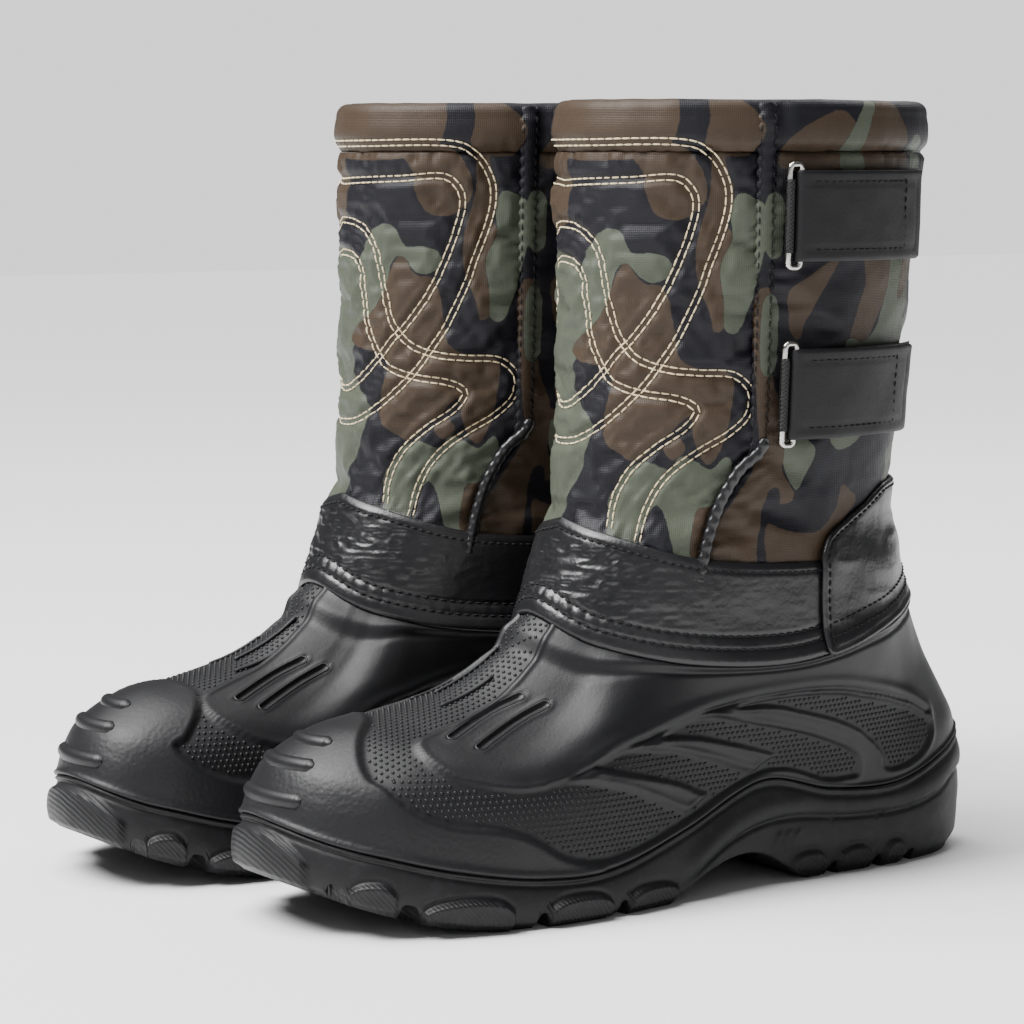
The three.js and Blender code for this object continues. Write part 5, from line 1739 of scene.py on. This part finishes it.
def tab_piece(side, level, mat):
    zc = STRAPS[level]
    zs = np.linspace(-TAB_W / 2, TAB_W / 2, 24) + zc
    outer, inner = [], []
    for arc in np.linspace(35, 255, 18):
        outer.append(beside(FRONT_BAR, zs, arc, TAB_REACH + TAB_T / 2))
        inner.append(beside(FRONT_BAR, zs, arc, TAB_REACH - TAB_T / 2))
    c, out, _ = bar(FRONT_BAR, zs)
    low = BAR_OFF - 0.3
    outer.append(c - out * low)
    inner.append(c - out * (low - TAB_T))
    b = Build().add(*slab(np.stack(outer, 1), np.stack(inner, 1)))
    return b.make(f"{level}_ring_tab", side, mat, slot="webbing", node=f"{level}_ring_tab")


def strap_pieces(side, mats):
    base_off = LAYER + STRAP_T / 2
    loop_off = base_off + STRAP_T / 2 + GAP + PAD_T / 2
    hook_off = FLAP_OFF - STRAP_T / 2 - GAP - PAD_T / 2
    start = REAR_BAR + FLAP_REACH + STRAP_T / 2 + GAP
    for level in STRAPS:
        ring_piece(side, level, mats["wire"])
        tab_piece(side, level, mats["webbing"])
        flap_piece(side, level, mats["strap"], mats["dark_thread"])
        layer_piece(side, level, "strap_base", start, 100, STRAP_W, base_off, STRAP_T, mats["webbing"],
                    thread=mats["dark_thread"])
        layer_piece(side, level, "loop_pad", PAD_START, PAD_END, PAD_W, loop_off, PAD_T, mats["hook_loop"],
                    slot="hook_and_loop", rough=0.12)
        layer_piece(side, level, "hook_pad", PAD_START, PAD_END, PAD_W, hook_off, PAD_T, mats["hook_loop"],
                    body=f"{level}_flap_body", slot="hook_and_loop")


# ---------------------------------------------------------------- the two boots

foam, sole = foam_material(), sole_material()
camo, leather = camo_material(), leather_material()
cream = thread_material("cream_thread", (0.6, 0.48, 0.29), (0.84, 0.72, 0.48))
dark_thread = thread_material("dark_thread", (0.003, 0.003, 0.0035), (0.007, 0.007, 0.008))
MATS = {"wire": wire_material(), "webbing": webbing_material(), "strap": strap_material(),
        "hook_loop": hook_loop_material(), "dark_thread": dark_thread}
fleece, felt, insole_foam = fleece_material(), felt_material(), insole_material()
for side in SIDES:
    shell_piece(side, foam)
    outsole_piece(side, sole)
    for front in (True, False):
        panel_piece(side, front, camo)
    cream_piece(side, cream)
    collar_piece(side, camo)
    for inner in (False, True):
        tape_piece(side, inner, camo, leather, dark_thread)
    band_piece(side, leather, dark_thread)
    patch_piece(side, leather, dark_thread)
    shaft_lining_piece(side, fleece)
    foot_liner_piece(side, felt)
    insole_piece(side, insole_foam)
    strap_pieces(side, MATS)


# ---------------------------------------------------------------- floor, light and camera

def stage():
    floor = bpy.data.meshes.new("floor")
    floor.from_pydata([(-6, -6, 0), (6, -6, 0), (6, 6, 0), (-6, 6, 0)], [], [(0, 1, 2, 3)])
    piece = bpy.data.objects.new("floor", floor)
    bpy.context.scene.collection.objects.link(piece)
    m = Mat("floor", (0.86, 0.86, 0.86), 0.7, Specular_IOR_Level=0.15)
    floor.materials.append(m.mat)
    world = bpy.data.worlds.new("studio")
    bpy.context.scene.world = world
    world.use_nodes = True
    nodes, links = world.node_tree.nodes, world.node_tree.links
    dim = nodes["Background"]
    dim.inputs["Strength"].default_value = 0.13
    dim.inputs["Color"].default_value = (1, 1, 1, 1)
    seen = nodes.new("ShaderNodeBackground")
    seen.inputs["Strength"].default_value = 1.66
    path = nodes.new("ShaderNodeLightPath")
    pick = nodes.new("ShaderNodeMixShader")
    links.new(path.outputs["Is Camera Ray"], pick.inputs[0])
    links.new(dim.outputs[0], pick.inputs[1])
    links.new(seen.outputs[0], pick.inputs[2])
    links.new(pick.outputs[0], nodes["World Output"].inputs[0])
    data = bpy.data.lights.new("overhead", "SUN")
    data.energy, data.angle = 5.6, math.radians(50)
    lamp = bpy.data.objects.new("overhead", data)
    lamp.rotation_euler = (math.radians(16), math.radians(-12), 0)
    bpy.context.scene.collection.objects.link(lamp)


def light(name, place, target, size, watts):
    data = bpy.data.lights.new(name, "AREA")
    data.shape = "RECTANGLE"
    data.size, data.size_y = size
    data.energy = watts
    lamp = bpy.data.objects.new(name, data)
    bpy.context.scene.collection.objects.link(lamp)
    lamp.location = place
    lamp.rotation_mode = "QUATERNION"
    lamp.rotation_quaternion = (Vector(target) - Vector(place)).to_track_quat("-Z", "Y")


def camera():
    az, pitch = math.radians(56), math.radians(6.1)
    back = Vector((math.sin(az), -math.cos(az), 0))
    right = Vector((math.cos(az), math.sin(az), 0))
    place = back * 1.3 + Vector((0.005, 0.01045, 0.275)) - right * 0.01
    aim = -back * math.cos(pitch) + Vector((0, 0, -math.sin(pitch)))
    data = bpy.data.cameras.new("camera")
    data.lens, data.sensor_width = 116.7, 36
    data.clip_start, data.clip_end = 0.05, 50
    cam = bpy.data.objects.new("camera", data)
    bpy.context.scene.collection.objects.link(cam)
    cam.location = place
    cam.rotation_mode = "QUATERNION"
    cam.rotation_quaternion = aim.to_track_quat("-Z", "Y")
    bpy.context.scene.camera = cam


stage()
light("key", (-0.15, -1.2, 1.6), (0, 0, 0.12), (0.8, 0.8), 58)
light("fill", (1.9, -0.6, 1.0), (0, 0, 0.12), (1.4, 1.4), 4)
light("back", (-0.6, 1.4, 1.5), (0, 0, 0.15), (1.2, 1.0), 12)
camera()
